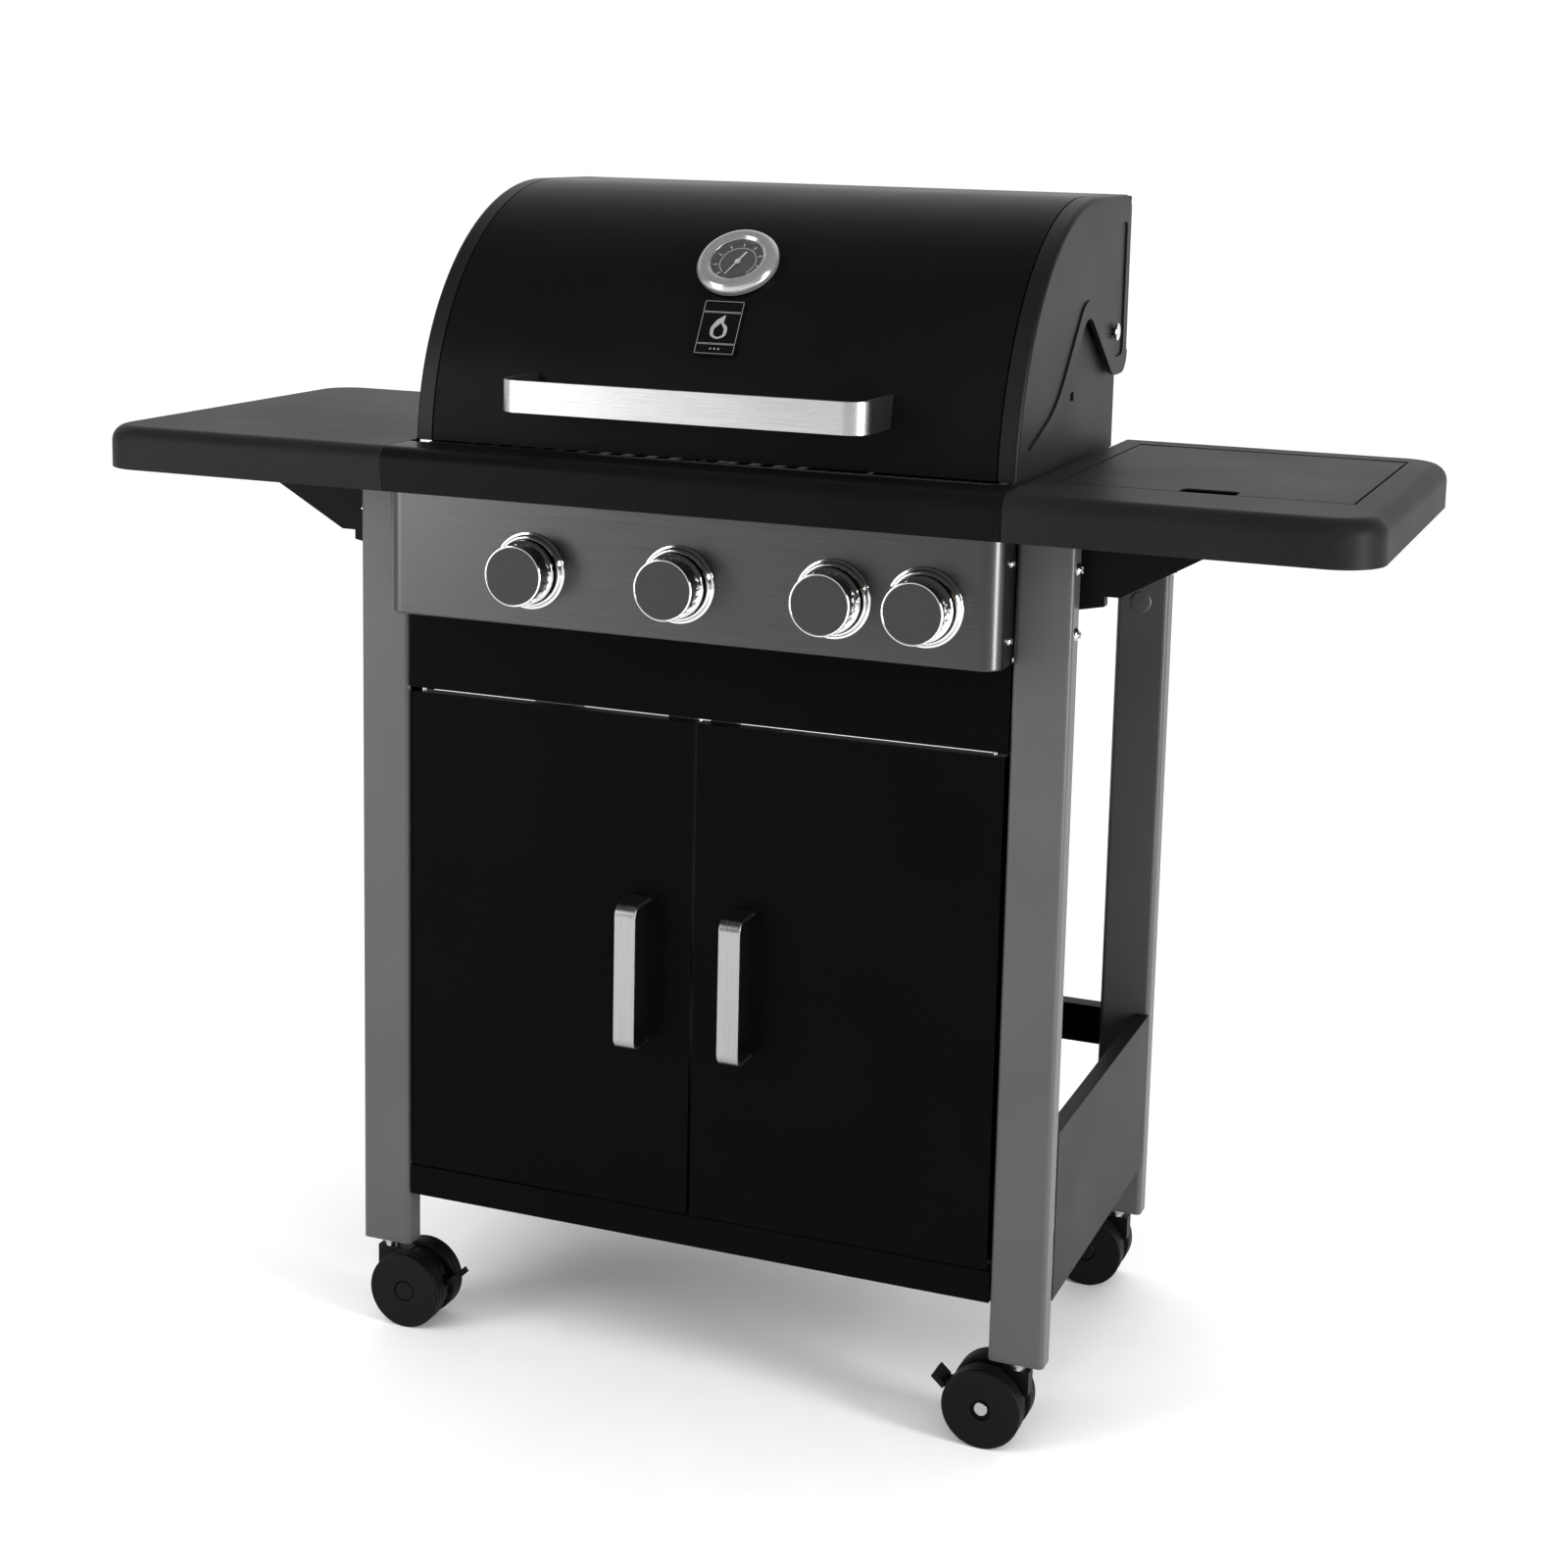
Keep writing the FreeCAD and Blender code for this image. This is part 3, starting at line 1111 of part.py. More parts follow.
def check_and_write():
    """Stop on any failed object or bad shape, then write one STEP file per sub-part."""
    faults = [f"{thing.Name} {thing.State}" for thing in doc.Objects
              if "Invalid" in thing.State or "Error" in thing.State]
    for label, thing in nodes.items():
        shape = thing.Shape
        if shape.isNull() or not shape.isValid() or not shape.Solids:
            faults.append(f"{label}: bad shape")
    if faults:
        raise RuntimeError("; ".join(faults))
    os.makedirs("parts", exist_ok=True)
    for label, thing in nodes.items():
        thing.Shape.exportStep(os.path.join("parts", f"{label}.step"))
    print(len(nodes), "sub-parts written")


build()
check_and_write()
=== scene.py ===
"""The looks of a gas barbecue grill on a cabinet cart, built around its CAD model.

Every length is in metres, in the model's own frame: +X to the cook's right, +Y to the back,
+Z up, with the floor at zero.
"""
import json
import math
from contextlib import contextmanager

import bmesh
import bpy
from bpy.props import FloatProperty, FloatVectorProperty, IntProperty, PointerProperty
from mathutils import Matrix, Vector

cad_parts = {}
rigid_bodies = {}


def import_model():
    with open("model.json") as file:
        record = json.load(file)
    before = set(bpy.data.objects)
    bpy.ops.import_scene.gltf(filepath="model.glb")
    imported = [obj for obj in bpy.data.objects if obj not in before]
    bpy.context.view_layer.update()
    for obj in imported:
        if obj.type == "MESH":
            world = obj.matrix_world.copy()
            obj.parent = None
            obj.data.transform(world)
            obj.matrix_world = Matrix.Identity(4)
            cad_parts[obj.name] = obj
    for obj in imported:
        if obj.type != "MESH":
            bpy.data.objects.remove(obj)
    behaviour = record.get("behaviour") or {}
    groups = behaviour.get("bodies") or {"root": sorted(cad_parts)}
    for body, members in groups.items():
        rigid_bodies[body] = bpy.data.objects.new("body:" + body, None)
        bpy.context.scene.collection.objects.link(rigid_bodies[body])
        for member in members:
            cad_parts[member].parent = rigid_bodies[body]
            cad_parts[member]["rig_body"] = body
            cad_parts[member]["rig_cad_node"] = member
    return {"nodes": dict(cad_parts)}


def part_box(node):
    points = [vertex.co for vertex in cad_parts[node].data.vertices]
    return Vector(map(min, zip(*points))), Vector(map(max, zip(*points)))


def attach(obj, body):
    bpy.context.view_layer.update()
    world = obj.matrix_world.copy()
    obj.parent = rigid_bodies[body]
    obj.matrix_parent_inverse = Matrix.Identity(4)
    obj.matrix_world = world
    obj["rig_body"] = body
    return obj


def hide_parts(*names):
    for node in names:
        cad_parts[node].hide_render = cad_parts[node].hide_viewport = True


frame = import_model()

bl_info = {
    "name": "Gas grill looks",
    "version": (1, 0, 0),
    "blender": (4, 5, 0),
    "location": "View3D > Sidebar > Grill",
    "description": "Builds the visible surfaces of a cabinet gas grill around its CAD frame",
    "category": "Object",
}

MM = 0.001
SIDES = {"left": -1, "right": 1}
CASTERS = ("front_left", "front_right", "rear_left", "rear_right")
KNOBS = (1, 2, 3, 4)
PLANES = {"XY": (0, 1, 2), "XZ": (0, 2, 1), "YZ": (1, 2, 0)}
WHOLE_TURN = math.tau
QUARTER_TURN = math.radians(90)
GAUGE_ANGLE = math.radians(46.5)
BADGE_ANGLE = math.radians(30.5)
NEEDLE_REST = math.radians(-25)
PANEL_SCREW_HEIGHTS = (0.748, 0.816)
LEG_SCREW_HEIGHTS = (0.754, 0.811)
LEG_PLUG_HEIGHT = 0.721


def length(name, default, about):
    """A property that holds a length."""
    return FloatProperty(name=name, description=about, default=default, min=0.0, unit="LENGTH",
                         precision=4)


def colour(name, default, about):
    """A property that holds a colour."""
    return FloatVectorProperty(name=name, description=about, default=default, size=3, min=0.0,
                               max=1.0, subtype="COLOR")


class GrillSizes(bpy.types.PropertyGroup):
    """Sizes that belong to the looks. The others are read from the CAD frame."""

    sheet: length("Sheet", 1.2 * MM, "Thickness of the folded steel sheet")
    fold: length("Fold", 0.8 * MM, "Outer radius of a sharp fold in the sheet")
    leg_width: length("Leg width", 52 * MM, "Width of a leg's front face")
    leg_corner: length("Leg corner", 5 * MM, "Radius of the leg tube's corners")
    panel_corner: length("Panel corner", 18 * MM, "Radius of the control panel's front corners")
    shelf_corner: length("Shelf corner", 45 * MM, "Radius of a shelf's outer corners in plan")
    bullnose: length("Bullnose", 16 * MM, "Radius along the upper edge of shelves and front rail")
    lid_arc: length("Lid arc", 250 * MM, "Radius of the lid's front curve")
    lid_lean: length("Lid lean", 12.4 * MM, "How far the lid's front leans back over its height")
    lid_rear_corner: length("Lid rear corner", 15 * MM, "Radius of the lid's upper rear edge")
    cap_edge: length("End cap edge", 4.2 * MM, "Rounding along the outer edge of the lid's end caps")
    cap_recess: length("End cap recess", 1.8 * MM, "Depth of the sunk field in the end caps")
    handle_thick: length("Handle thickness", 5.5 * MM, "Thickness of the lid handle's bar")
    handle_bend: length("Handle bend", 20 * MM, "Outer radius of the lid handle's bends")
    pull_thick: length("Pull thickness", 4 * MM, "Thickness of the door handles' bars")
    pull_bend: length("Pull bend", 12 * MM, "Outer radius of the door handles' bends")
    wheel_width: length("Wheel width", 18 * MM, "Width of one caster wheel")
    knob_ribs: IntProperty(name="Knob ribs", description="Grip ribs round each knob",
                           default=24, min=4, max=32)
    dial_marks: IntProperty(name="Dial marks", description="Marks on the thermometer's scale",
                            default=9, min=3, max=25)


class GrillColours(bpy.types.PropertyGroup):
    """Base colours of the finishes."""

    legs: colour("Legs", (0.062, 0.062, 0.0632), "Grey paint of the legs")
    side_panels: colour("Side panels", (0.007, 0.007, 0.0072), "Grey paint of the side panels")
    black: colour("Black coat", (0.0045, 0.0045, 0.0047), "Powder coat of the lid and front rail")
    shelf: colour("Shelf coat", (0.012, 0.012, 0.0125), "Textured coat of the shelf tops")
    doors: colour("Doors", (0.0020, 0.0020, 0.0021), "Coat of the doors and header")
    cap: colour("End caps", (0.008, 0.008, 0.0082), "Satin paint of the cast end caps")
    steel: colour("Steel", (0.069, 0.069, 0.0702), "Brushed steel of the control panel")
    aluminium: colour("Aluminium", (0.54, 0.54, 0.548), "Brushed handle of the lid")
    pulls: colour("Door handles", (0.36, 0.36, 0.365), "Brushed handles of the doors")
    chrome: colour("Chrome", (0.78, 0.78, 0.79), "Plated knobs, bezels and gauge ring")
    knob_face: colour("Knob face", (0.026, 0.026, 0.0264), "Inlay on the knobs' faces")
    plastic: colour("Caster plastic", (0.0022, 0.0022, 0.0023), "Caster housings and wheels")
    iron: colour("Iron", (0.022, 0.022, 0.022), "Enamelled grates")
    print_white: colour("Print", (0.62, 0.62, 0.62), "Marks on the dial and badge")


class GrillStage(bpy.types.PropertyGroup):
    """The camera and the studio round the grill."""

    azimuth: FloatProperty(name="Azimuth", description="How far to the right the camera stands",
                           default=math.radians(20.918), subtype="ANGLE", unit="ROTATION")
    elevation: FloatProperty(name="Elevation", description="How far the camera looks down",
                             default=math.radians(9.199), subtype="ANGLE", unit="ROTATION")
    roll: FloatProperty(name="Roll", description="Turn about the camera's line of sight",
                        default=math.radians(1.331), subtype="ANGLE", unit="ROTATION")
    place: FloatVectorProperty(name="Place", description="Where the camera stands", size=3,
                               default=(0.914, -2.292, 1.194), subtype="TRANSLATION",
                               unit="LENGTH")
    lens: FloatProperty(name="Lens", description="Focal length in millimetres on a 36 mm frame",
                        default=59.68, min=1.0)
    shift_x: FloatProperty(name="Shift X", description="Sideways shift of the view", default=-0.0116)
    shift_y: FloatProperty(name="Shift Y", description="Upward shift of the view", default=-0.16)
    floor: colour("Floor", (0.86, 0.86, 0.86), "The plain pale floor")


def sizes():
    return bpy.context.scene.grill_sizes


def colours():
    return bpy.context.scene.grill_colours


# ---------------------------------------------------------------- modelling tools
def use(piece):
    """Leave only this piece selected and active."""
    bpy.ops.object.select_all(action="DESELECT")
    piece.select_set(True)
    bpy.context.view_layer.objects.active = piece


@contextmanager
def editing(piece):
    """Edit mode on one piece, with nothing selected."""
    use(piece)
    bpy.ops.object.mode_set(mode="EDIT")
    bpy.ops.mesh.select_mode(type="VERT")
    bpy.ops.mesh.select_all(action="DESELECT")
    yield piece
    bpy.ops.object.mode_set(mode="OBJECT")


def pick(piece, kind, wanted):
    """Select the faces, edges or vertices for which wanted(item) is true."""
    bpy.ops.mesh.select_mode(type={"faces": "FACE", "edges": "EDGE", "verts": "VERT"}[kind])
    bpy.ops.mesh.select_all(action="DESELECT")
    mesh = bmesh.from_edit_mesh(piece.data)
    for item in [item for item in getattr(mesh, kind) if wanted(item)]:
        item.select_set(True)
    mesh.select_flush_mode()
    bmesh.update_edit_mesh(piece.data)


def middle(item):
    """The middle of an edge or a face."""
    if isinstance(item, bmesh.types.BMFace):
        return item.calc_center_median()
    return (item.verts[0].co + item.verts[1].co) / 2


def facing(direction, least=0.9):
    """A test for faces whose normal is within reach of a direction."""
    direction = Vector(direction).normalized()
    return lambda face: face.normal.dot(direction) > least


def apply_modifier(piece, kind, **settings):
    """Add one modifier with these settings, and apply it."""
    use(piece)
    bpy.ops.object.modifier_add(type=kind)
    modifier = piece.modifiers[-1]
    for key, value in settings.items():
        setattr(modifier, key, value)
    bpy.ops.object.modifier_apply(modifier=modifier.name)


def smooth(piece, angle=35):
    """Smooth shading that keeps flat faces flat and edges sharper than the angle."""
    use(piece)
    bpy.ops.object.shade_smooth_by_angle(angle=math.radians(angle))
    apply_modifier(piece, "WEIGHTED_NORMAL", keep_sharp=True)
    return piece


def eased(piece, width, segments=2, angle=35):
    """Round the sharp edges by a small width, then shade the piece."""
    apply_modifier(piece, "BEVEL", width=width, segments=segments, limit_method="ANGLE",
                   angle_limit=math.radians(angle), use_clamp_overlap=True,
                   miter_outer="MITER_ARC")
    return smooth(piece, angle)


def on_plane(plane, u, v, w):
    """A point from its two coordinates in a plane and its distance along the third axis."""
    point = Vector()
    for axis, value in zip(PLANES[plane], (u, v, w)):
        point[axis] = value
    return point


def mm(*corners):
    """Corners given in millimetres, as a list in metres."""
    return [tuple(value * MM for value in corner) for corner in corners]


def arcs_of(corners, plane, at, closed):
    """Each corner as (start, stop, centre, turn); a sharp one has no centre."""
    points = [on_plane(plane, corner[0], corner[1], at) for corner in corners]
    normal = on_plane(plane, 0, 0, 1)
    found = []
    for index, corner in enumerate(corners):
        here = points[index]
        inside = closed or 0 < index < len(corners) - 1
        if len(corner) < 3 or not inside:
            found.append((here, here, None, 0.0))
            continue
        into = (here - points[index - 1]).normalized()
        away = (points[(index + 1) % len(points)] - here).normalized()
        turn = math.copysign(into.angle(away), into.cross(away).dot(normal))
        run = corner[2] * math.tan(abs(turn) / 2)
        start = here - into * run
        centre = start + normal.cross(into) * math.copysign(corner[2], turn)
        found.append((start, here + away * run, centre, turn))
    return found


def drawn(name, corners, plane, at=0.0, closed=True, step=8):
    """Draw a line point by point through corners of a plane, and fill it if it is closed.

    A corner is (u, v) or, rounded, (u, v, radius); step is the angle between points of an arc.
    """
    arcs = arcs_of(corners, plane, at, closed)
    axis = on_plane(plane, 0, 0, 1)
    bpy.ops.object.select_all(action="DESELECT")
    bpy.ops.mesh.primitive_plane_add(size=MM)
    piece = bpy.context.object
    piece.name = name
    piece.data.name = name
    with editing(piece):
        bpy.ops.mesh.select_all(action="SELECT")
        bpy.ops.mesh.merge(type="CENTER")
        here = arcs[0][1]
        bpy.ops.transform.translate(value=here)
        for start, stop, centre, turn in arcs[1:] + (arcs[:1] if closed else []):
            if (start - here).length > 1e-7:
                move = {"value": start - here}
                bpy.ops.mesh.extrude_vertices_move(TRANSFORM_OT_translate=move)
            if centre is not None:
                steps = max(2, round(abs(math.degrees(turn)) / step))
                bpy.ops.mesh.spin(steps=steps, angle=-turn, center=centre, axis=axis)
            here = stop
        if closed:
            bpy.ops.mesh.select_all(action="SELECT")
            bpy.ops.mesh.remove_doubles(threshold=1e-6)
            bpy.ops.mesh.select_all(action="SELECT")
            bpy.ops.mesh.edge_face_add()
    return piece


def pushed(piece, offset):
    """Extrude a drawn piece into a closed solid."""
    with editing(piece):
        bpy.ops.mesh.select_all(action="SELECT")
        bpy.ops.mesh.extrude_region_move(TRANSFORM_OT_translate={"value": offset})
        bpy.ops.mesh.select_all(action="SELECT")
        bpy.ops.mesh.normals_make_consistent(inside=False)
    return piece


def solid(name, corners, plane, low, high, step=8):
    """An outline of a plane, extruded from low to high along the third axis."""
    piece = drawn(name, corners, plane, low, step=step)
    return pushed(piece, on_plane(plane, 0, 0, high - low))


def turned(name, profile, steps=64, step=15):
    """A profile of (radius, height) corners, spun about Z."""
    piece = drawn(name, profile, "XZ", closed=False, step=step)
    with editing(piece):
        bpy.ops.mesh.select_all(action="SELECT")
        bpy.ops.mesh.spin(steps=steps, angle=WHOLE_TURN, center=(0, 0, 0), axis=(0, 0, 1))
        bpy.ops.mesh.select_all(action="SELECT")
        bpy.ops.mesh.remove_doubles(threshold=1e-6)
        bpy.ops.mesh.normals_make_consistent(inside=False)
    return piece


def placed(piece, at=(0, 0, 0), about_x=0.0, about_y=0.0, about_z=0.0):
    """Turn a piece about the origin, then carry it to its place, all in its mesh."""
    use(piece)
    piece.rotation_euler = (about_x, about_y, about_z)
    piece.location = at
    bpy.ops.object.transform_apply(location=True, rotation=True, scale=True)
    return piece


def copied(piece, name):
    """A copy with its own mesh."""
    use(piece)
    bpy.ops.object.duplicate()
    twin = bpy.context.object
    twin.name = name
    twin.data.name = name
    return twin


def mirrored(piece, name):
    """A copy on the other side of the grill's middle plane."""
    twin = copied(piece, name)
    twin.scale = (-1, 1, 1)
    bpy.ops.object.transform_apply(location=True, rotation=True, scale=True)
    with editing(twin):
        bpy.ops.mesh.select_all(action="SELECT")
        bpy.ops.mesh.normals_make_consistent(inside=False)
    return twin


def joined(name, pieces):
    """Several pieces made one object."""
    bpy.ops.object.select_all(action="DESELECT")
    for piece in pieces:
        piece.select_set(True)
    bpy.context.view_layer.objects.active = pieces[0]
    if len(pieces) > 1:
        bpy.ops.object.join()
    pieces[0].name = name
    pieces[0].data.name = name
    return pieces[0]


def carved(piece, tools, operation="DIFFERENCE"):
    """Cut tools out of a piece, or join them to it, and remove them."""
    for tool in tools:
        apply_modifier(piece, "BOOLEAN", object=tool, operation=operation, solver="EXACT")
        use(tool)
        bpy.ops.object.delete()
    return piece


def cad_copy(name, *nodes):
    """A clean copy of CAD nodes: merged, with the flat triangles dissolved into faces."""
    bpy.ops.object.select_all(action="DESELECT")
    for node_name in nodes:
        frame["nodes"][node_name].select_set(True)
    bpy.context.view_layer.objects.active = frame["nodes"][nodes[0]]
    bpy.ops.object.duplicate()
    copies = list(bpy.context.selected_objects)
    for copy in copies:
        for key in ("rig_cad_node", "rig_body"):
            if key in copy:
                del copy[key]
    bpy.ops.object.parent_clear(type="CLEAR_KEEP_TRANSFORM")
    piece = joined(name, copies)
    bpy.ops.mesh.customdata_custom_splitnormals_clear()
    with editing(piece):
        bpy.ops.mesh.select_all(action="SELECT")
        bpy.ops.mesh.remove_doubles(threshold=1e-5)
        bpy.ops.mesh.dissolve_limited(angle_limit=math.radians(0.6))
    return piece


def fit(piece, body, slot, finish, *nodes):
    """Let a piece ride on its body, stand for its nodes and take the finish of this name."""
    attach(piece, body)
    if nodes:
        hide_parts(*nodes)
    piece.data.materials.clear()
    piece.data.materials.append(FINISHES[finish])
    return piece


def softened(name, body, slot, finish, *nodes, width=0.5 * MM, segments=2, angle=35):
    """A CAD copy with eased edges that stands for its nodes."""
    return fit(eased(cad_copy(name, *nodes), width, segments, angle), body, slot, finish, *nodes)


# ---------------------------------------------------------------- finishes
def node(tree, kind, sockets=(), **settings):
    """Add a shader node; a socket takes a value or a link from another socket."""
    made = tree.nodes.new(f"ShaderNode{kind}")
    for key, value in settings.items():
        setattr(made, key, value)
    for key, value in dict(sockets).items():
        if isinstance(value, bpy.types.NodeSocket):
            tree.links.new(value, made.inputs[key])
        else:
            made.inputs[key].default_value = value
    return made


def blank(name, roughness, metallic=0.0, **sockets):
    """A material with its shader's plain numbers set on the shader itself."""
    made = bpy.data.materials.new(name)
    made.use_nodes = True
    shader = made.node_tree.nodes["Principled BSDF"]
    shader.inputs["Roughness"].default_value = roughness
    shader.inputs["Metallic"].default_value = metallic
    for key, value in sockets.items():
        shader.inputs[key.replace("_", " ")].default_value = value
    return made, made.node_tree, shader


def shades(tree, factor, first, second, low=0.3, high=0.7):
    """A ramp from one colour to another as the factor goes from low to high."""
    ramp = node(tree, "ValToRGB", {"Fac": factor})
    ramp.color_ramp.elements[0].position = low
    ramp.color_ramp.elements[0].color = (*first, 1)
    ramp.color_ramp.elements[1].position = high
    ramp.color_ramp.elements[1].color = (*second, 1)
    return ramp.outputs["Color"]


def spread(tree, factor, low, high):
    """The factor stretched to run from low to high."""
    ranged = node(tree, "MapRange", {"Value": factor, "From Min": 0.25, "From Max": 0.75,
                                     "To Min": low, "To Max": high})
    return ranged.outputs["Result"]


def tinted(base, amount):
    """A colour made lighter or darker by a share of itself."""
    return tuple(min(1.0, channel * (1 + amount)) for channel in base)


def coated(name, base, roughness, grain=700.0, depth=0.25, variation=0.12, sheen=0.5):
    """Paint or moulded plastic: a fine grain in its surface and slow changes of shade."""
    material, tree, shader = blank(name, roughness, Specular_IOR_Level=sheen)
    place = node(tree, "TexCoord").outputs["Object"]
    fine = node(tree, "TexNoise", {"Vector": place, "Scale": grain, "Detail": 3.0})
    slow = node(tree, "TexNoise", {"Vector": place, "Scale": 7.0, "Detail": 5.0})
    mixed = node(tree, "Math", {0: fine.outputs["Fac"], 1: slow.outputs["Fac"]},
                 operation="MULTIPLY")
    dark, light = tinted(base, -variation), tinted(base, variation)
    tree.links.new(shades(tree, mixed.outputs[0], dark, light, 0.15, 0.4),
                   shader.inputs["Base Color"])
    tree.links.new(spread(tree, slow.outputs["Fac"], roughness - 0.04, roughness + 0.05),
                   shader.inputs["Roughness"])
    bump = node(tree, "Bump", {"Height": fine.outputs["Fac"], "Strength": depth,
                               "Distance": 0.1 * MM})
    tree.links.new(bump.outputs["Normal"], shader.inputs["Normal"])
    return material


def brushed(name, base, roughness, stretch, depth=0.2, variation=0.18, metallic=1.0):
    """Metal with fine scratches drawn out along one axis."""
    material, tree, shader = blank(name, roughness, metallic=metallic)
    place = node(tree, "TexCoord").outputs["Object"]
    drawn_out = node(tree, "Mapping", {"Vector": place, "Scale": stretch})
    lines = node(tree, "TexNoise", {"Vector": drawn_out.outputs["Vector"], "Scale": 1.0,
                                    "Detail": 6.0, "Roughness": 0.7})
    slow = node(tree, "TexNoise", {"Vector": place, "Scale": 4.0, "Detail": 3.0})
    dark, light = tinted(base, -variation), tinted(base, variation)
    tree.links.new(shades(tree, lines.outputs["Fac"], dark, light), shader.inputs["Base Color"])
    both = node(tree, "Math", {0: lines.outputs["Fac"], 1: slow.outputs["Fac"]},
                operation="MULTIPLY")
    ranged = node(tree, "MapRange", {"Value": both.outputs[0], "From Min": 0.1, "From Max": 0.45,
                                     "To Min": roughness - 0.07, "To Max": roughness + 0.09})
    tree.links.new(ranged.outputs["Result"], shader.inputs["Roughness"])
    bump = node(tree, "Bump", {"Height": lines.outputs["Fac"], "Strength": depth,
                               "Distance": 0.05 * MM})
    tree.links.new(bump.outputs["Normal"], shader.inputs["Normal"])
    return material


def plated(name, base, roughness=0.05):
    """Polished plating with a faint haze of handling."""
    material, tree, shader = blank(name, roughness, metallic=1.0)
    place = node(tree, "TexCoord").outputs["Object"]
    haze = node(tree, "TexNoise", {"Vector": place, "Scale": 60.0, "Detail": 5.0})
    tree.links.new(spread(tree, haze.outputs["Fac"], roughness, roughness + 0.07),
                   shader.inputs["Roughness"])
    tree.links.new(shades(tree, haze.outputs["Fac"], tinted(base, -0.06), base),
                   shader.inputs["Base Color"])
    return material


def clear_glass(name):
    """The gauge's flat lens."""
    material, tree, shader = blank(name, 0.02, Transmission_Weight=1.0, IOR=1.45)
    place = node(tree, "TexCoord").outputs["Object"]
    film = node(tree, "TexNoise", {"Vector": place, "Scale": 80.0, "Detail": 2.0})
    tree.links.new(spread(tree, film.outputs["Fac"], 0.01, 0.05), shader.inputs["Roughness"])
    shader.inputs["Base Color"].default_value = (0.96, 0.97, 0.97, 1)
    return material


FINISHES = {}


def make_finishes():
    """Every finish once, by name."""
    tint = colours()
    along_x, along_z = (14.0, 1800.0, 1800.0), (1500.0, 1500.0, 14.0)
    FINISHES.update(
        leg_grey=coated("Leg grey paint", tint.legs, 0.36, 1400.0, 0.12, sheen=0.4),
        panel_grey=coated("Side panel grey paint", tint.side_panels, 0.40, 1100.0, 0.2,
                          sheen=0.06),
        black_coat=coated("Black powder coat", tint.black, 0.33, 900.0, 0.16, sheen=0.04),
        shelf_coat=coated("Textured shelf coat", tint.shelf, 0.46, 650.0, 0.5, 0.2, sheen=0.07),
        door_black=coated("Door black coat", tint.doors, 0.30, 1200.0, 0.1, sheen=0.02),
        firebox_black=coated("Firebox matt coat", tint.black, 0.5, 500.0, 0.3, 0.25, sheen=0.3),
        cast_cap=coated("End cap satin paint", tint.cap, 0.42, 800.0, 0.25, sheen=0.15),
        knob_dark=coated("Knob inlay", tint.knob_face, 0.55, 1500.0, 0.08, 0.06, sheen=0.25),
        caster_black=coated("Caster plastic", tint.plastic, 0.45, 700.0, 0.3, sheen=0.12),
        wheel_black=coated("Wheel plastic", tint.plastic, 0.5, 500.0, 0.35, 0.2, sheen=0.12),
        grate_iron=coated("Enamelled iron", tint.iron, 0.42, 350.0, 0.6, 0.3),
        dial_black=coated("Dial face", (0.020, 0.020, 0.021), 0.5, 900.0, 0.05, sheen=0.2),
        badge_black=coated("Badge face", (0.004, 0.004, 0.004), 0.25, 900.0, 0.05, sheen=0.1),
        magnet_grey=coated("Magnet block", (0.22, 0.22, 0.22), 0.5, 300.0, 0.3),
        needle_white=coated("Printed marks", tint.print_white, 0.45, 900.0, 0.05, 0.05),
        badge_print=coated("Badge print", (0.26, 0.26, 0.26), 0.45, 900.0, 0.05, 0.05),
        panel_steel=brushed("Brushed panel steel", tint.steel, 0.30, along_x, 0.16, 0.14),
        pull_aluminium=brushed("Brushed door handles", tint.pulls, 0.30, along_z, 0.2, 0.1),
        bar_aluminium=brushed("Brushed lid handle", tint.aluminium, 0.28, along_x, 0.2, 0.1),
        burner_steel=brushed("Burner steel", (0.42, 0.40, 0.37), 0.38, (300.0, 12.0, 300.0)),
        zinc=brushed("Zinc plate", (0.45, 0.45, 0.45), 0.25, (300.0, 300.0, 300.0), 0.15),
        galvanised=brushed("Galvanised sheet", (0.35, 0.36, 0.37), 0.42, (60.0, 60.0, 60.0), 0.2,
                           0.3),
        brass=brushed("Turned brass", (0.62, 0.44, 0.17), 0.28, (400.0, 400.0, 400.0)),
        gauge_steel=brushed("Satin gauge ring", (0.46, 0.46, 0.465), 0.22, (500.0, 500.0, 500.0),
                            0.1, 0.08, metallic=0.7),
        chrome=plated("Chrome plate", tint.chrome),
        gauge_glass=clear_glass("Gauge lens"),
    )


# ---------------------------------------------------------------- cart
def leg(name, x_low, x_high, y_low, y_high, z_low, z_high):
    """A tube leg: a block with rounded corners, opened at its top and given a wall."""
    bpy.ops.object.select_all(action="DESELECT")
    centre = ((x_low + x_high) / 2, (y_low + y_high) / 2, (z_low + z_high) / 2)
    bpy.ops.mesh.primitive_cube_add(size=1, location=centre,
                                    scale=(x_high - x_low, y_high - y_low, z_high - z_low))
    piece = bpy.context.object
    piece.name = name
    piece.data.name = name
    bpy.ops.object.transform_apply(location=True, rotation=True, scale=True)
    with editing(piece):
        pick(piece, "edges", lambda edge: abs(edge.verts[0].co.z - edge.verts[1].co.z) > 0.1)
        bpy.ops.mesh.bevel(offset=sizes().leg_corner, segments=7)
        pick(piece, "faces", lambda face: abs(face.normal.z) > 0.9)
        bpy.ops.mesh.delete(type="FACE")
    apply_modifier(piece, "SOLIDIFY", thickness=sizes().sheet, offset=-1)
    return eased(piece, 0.3 * MM)


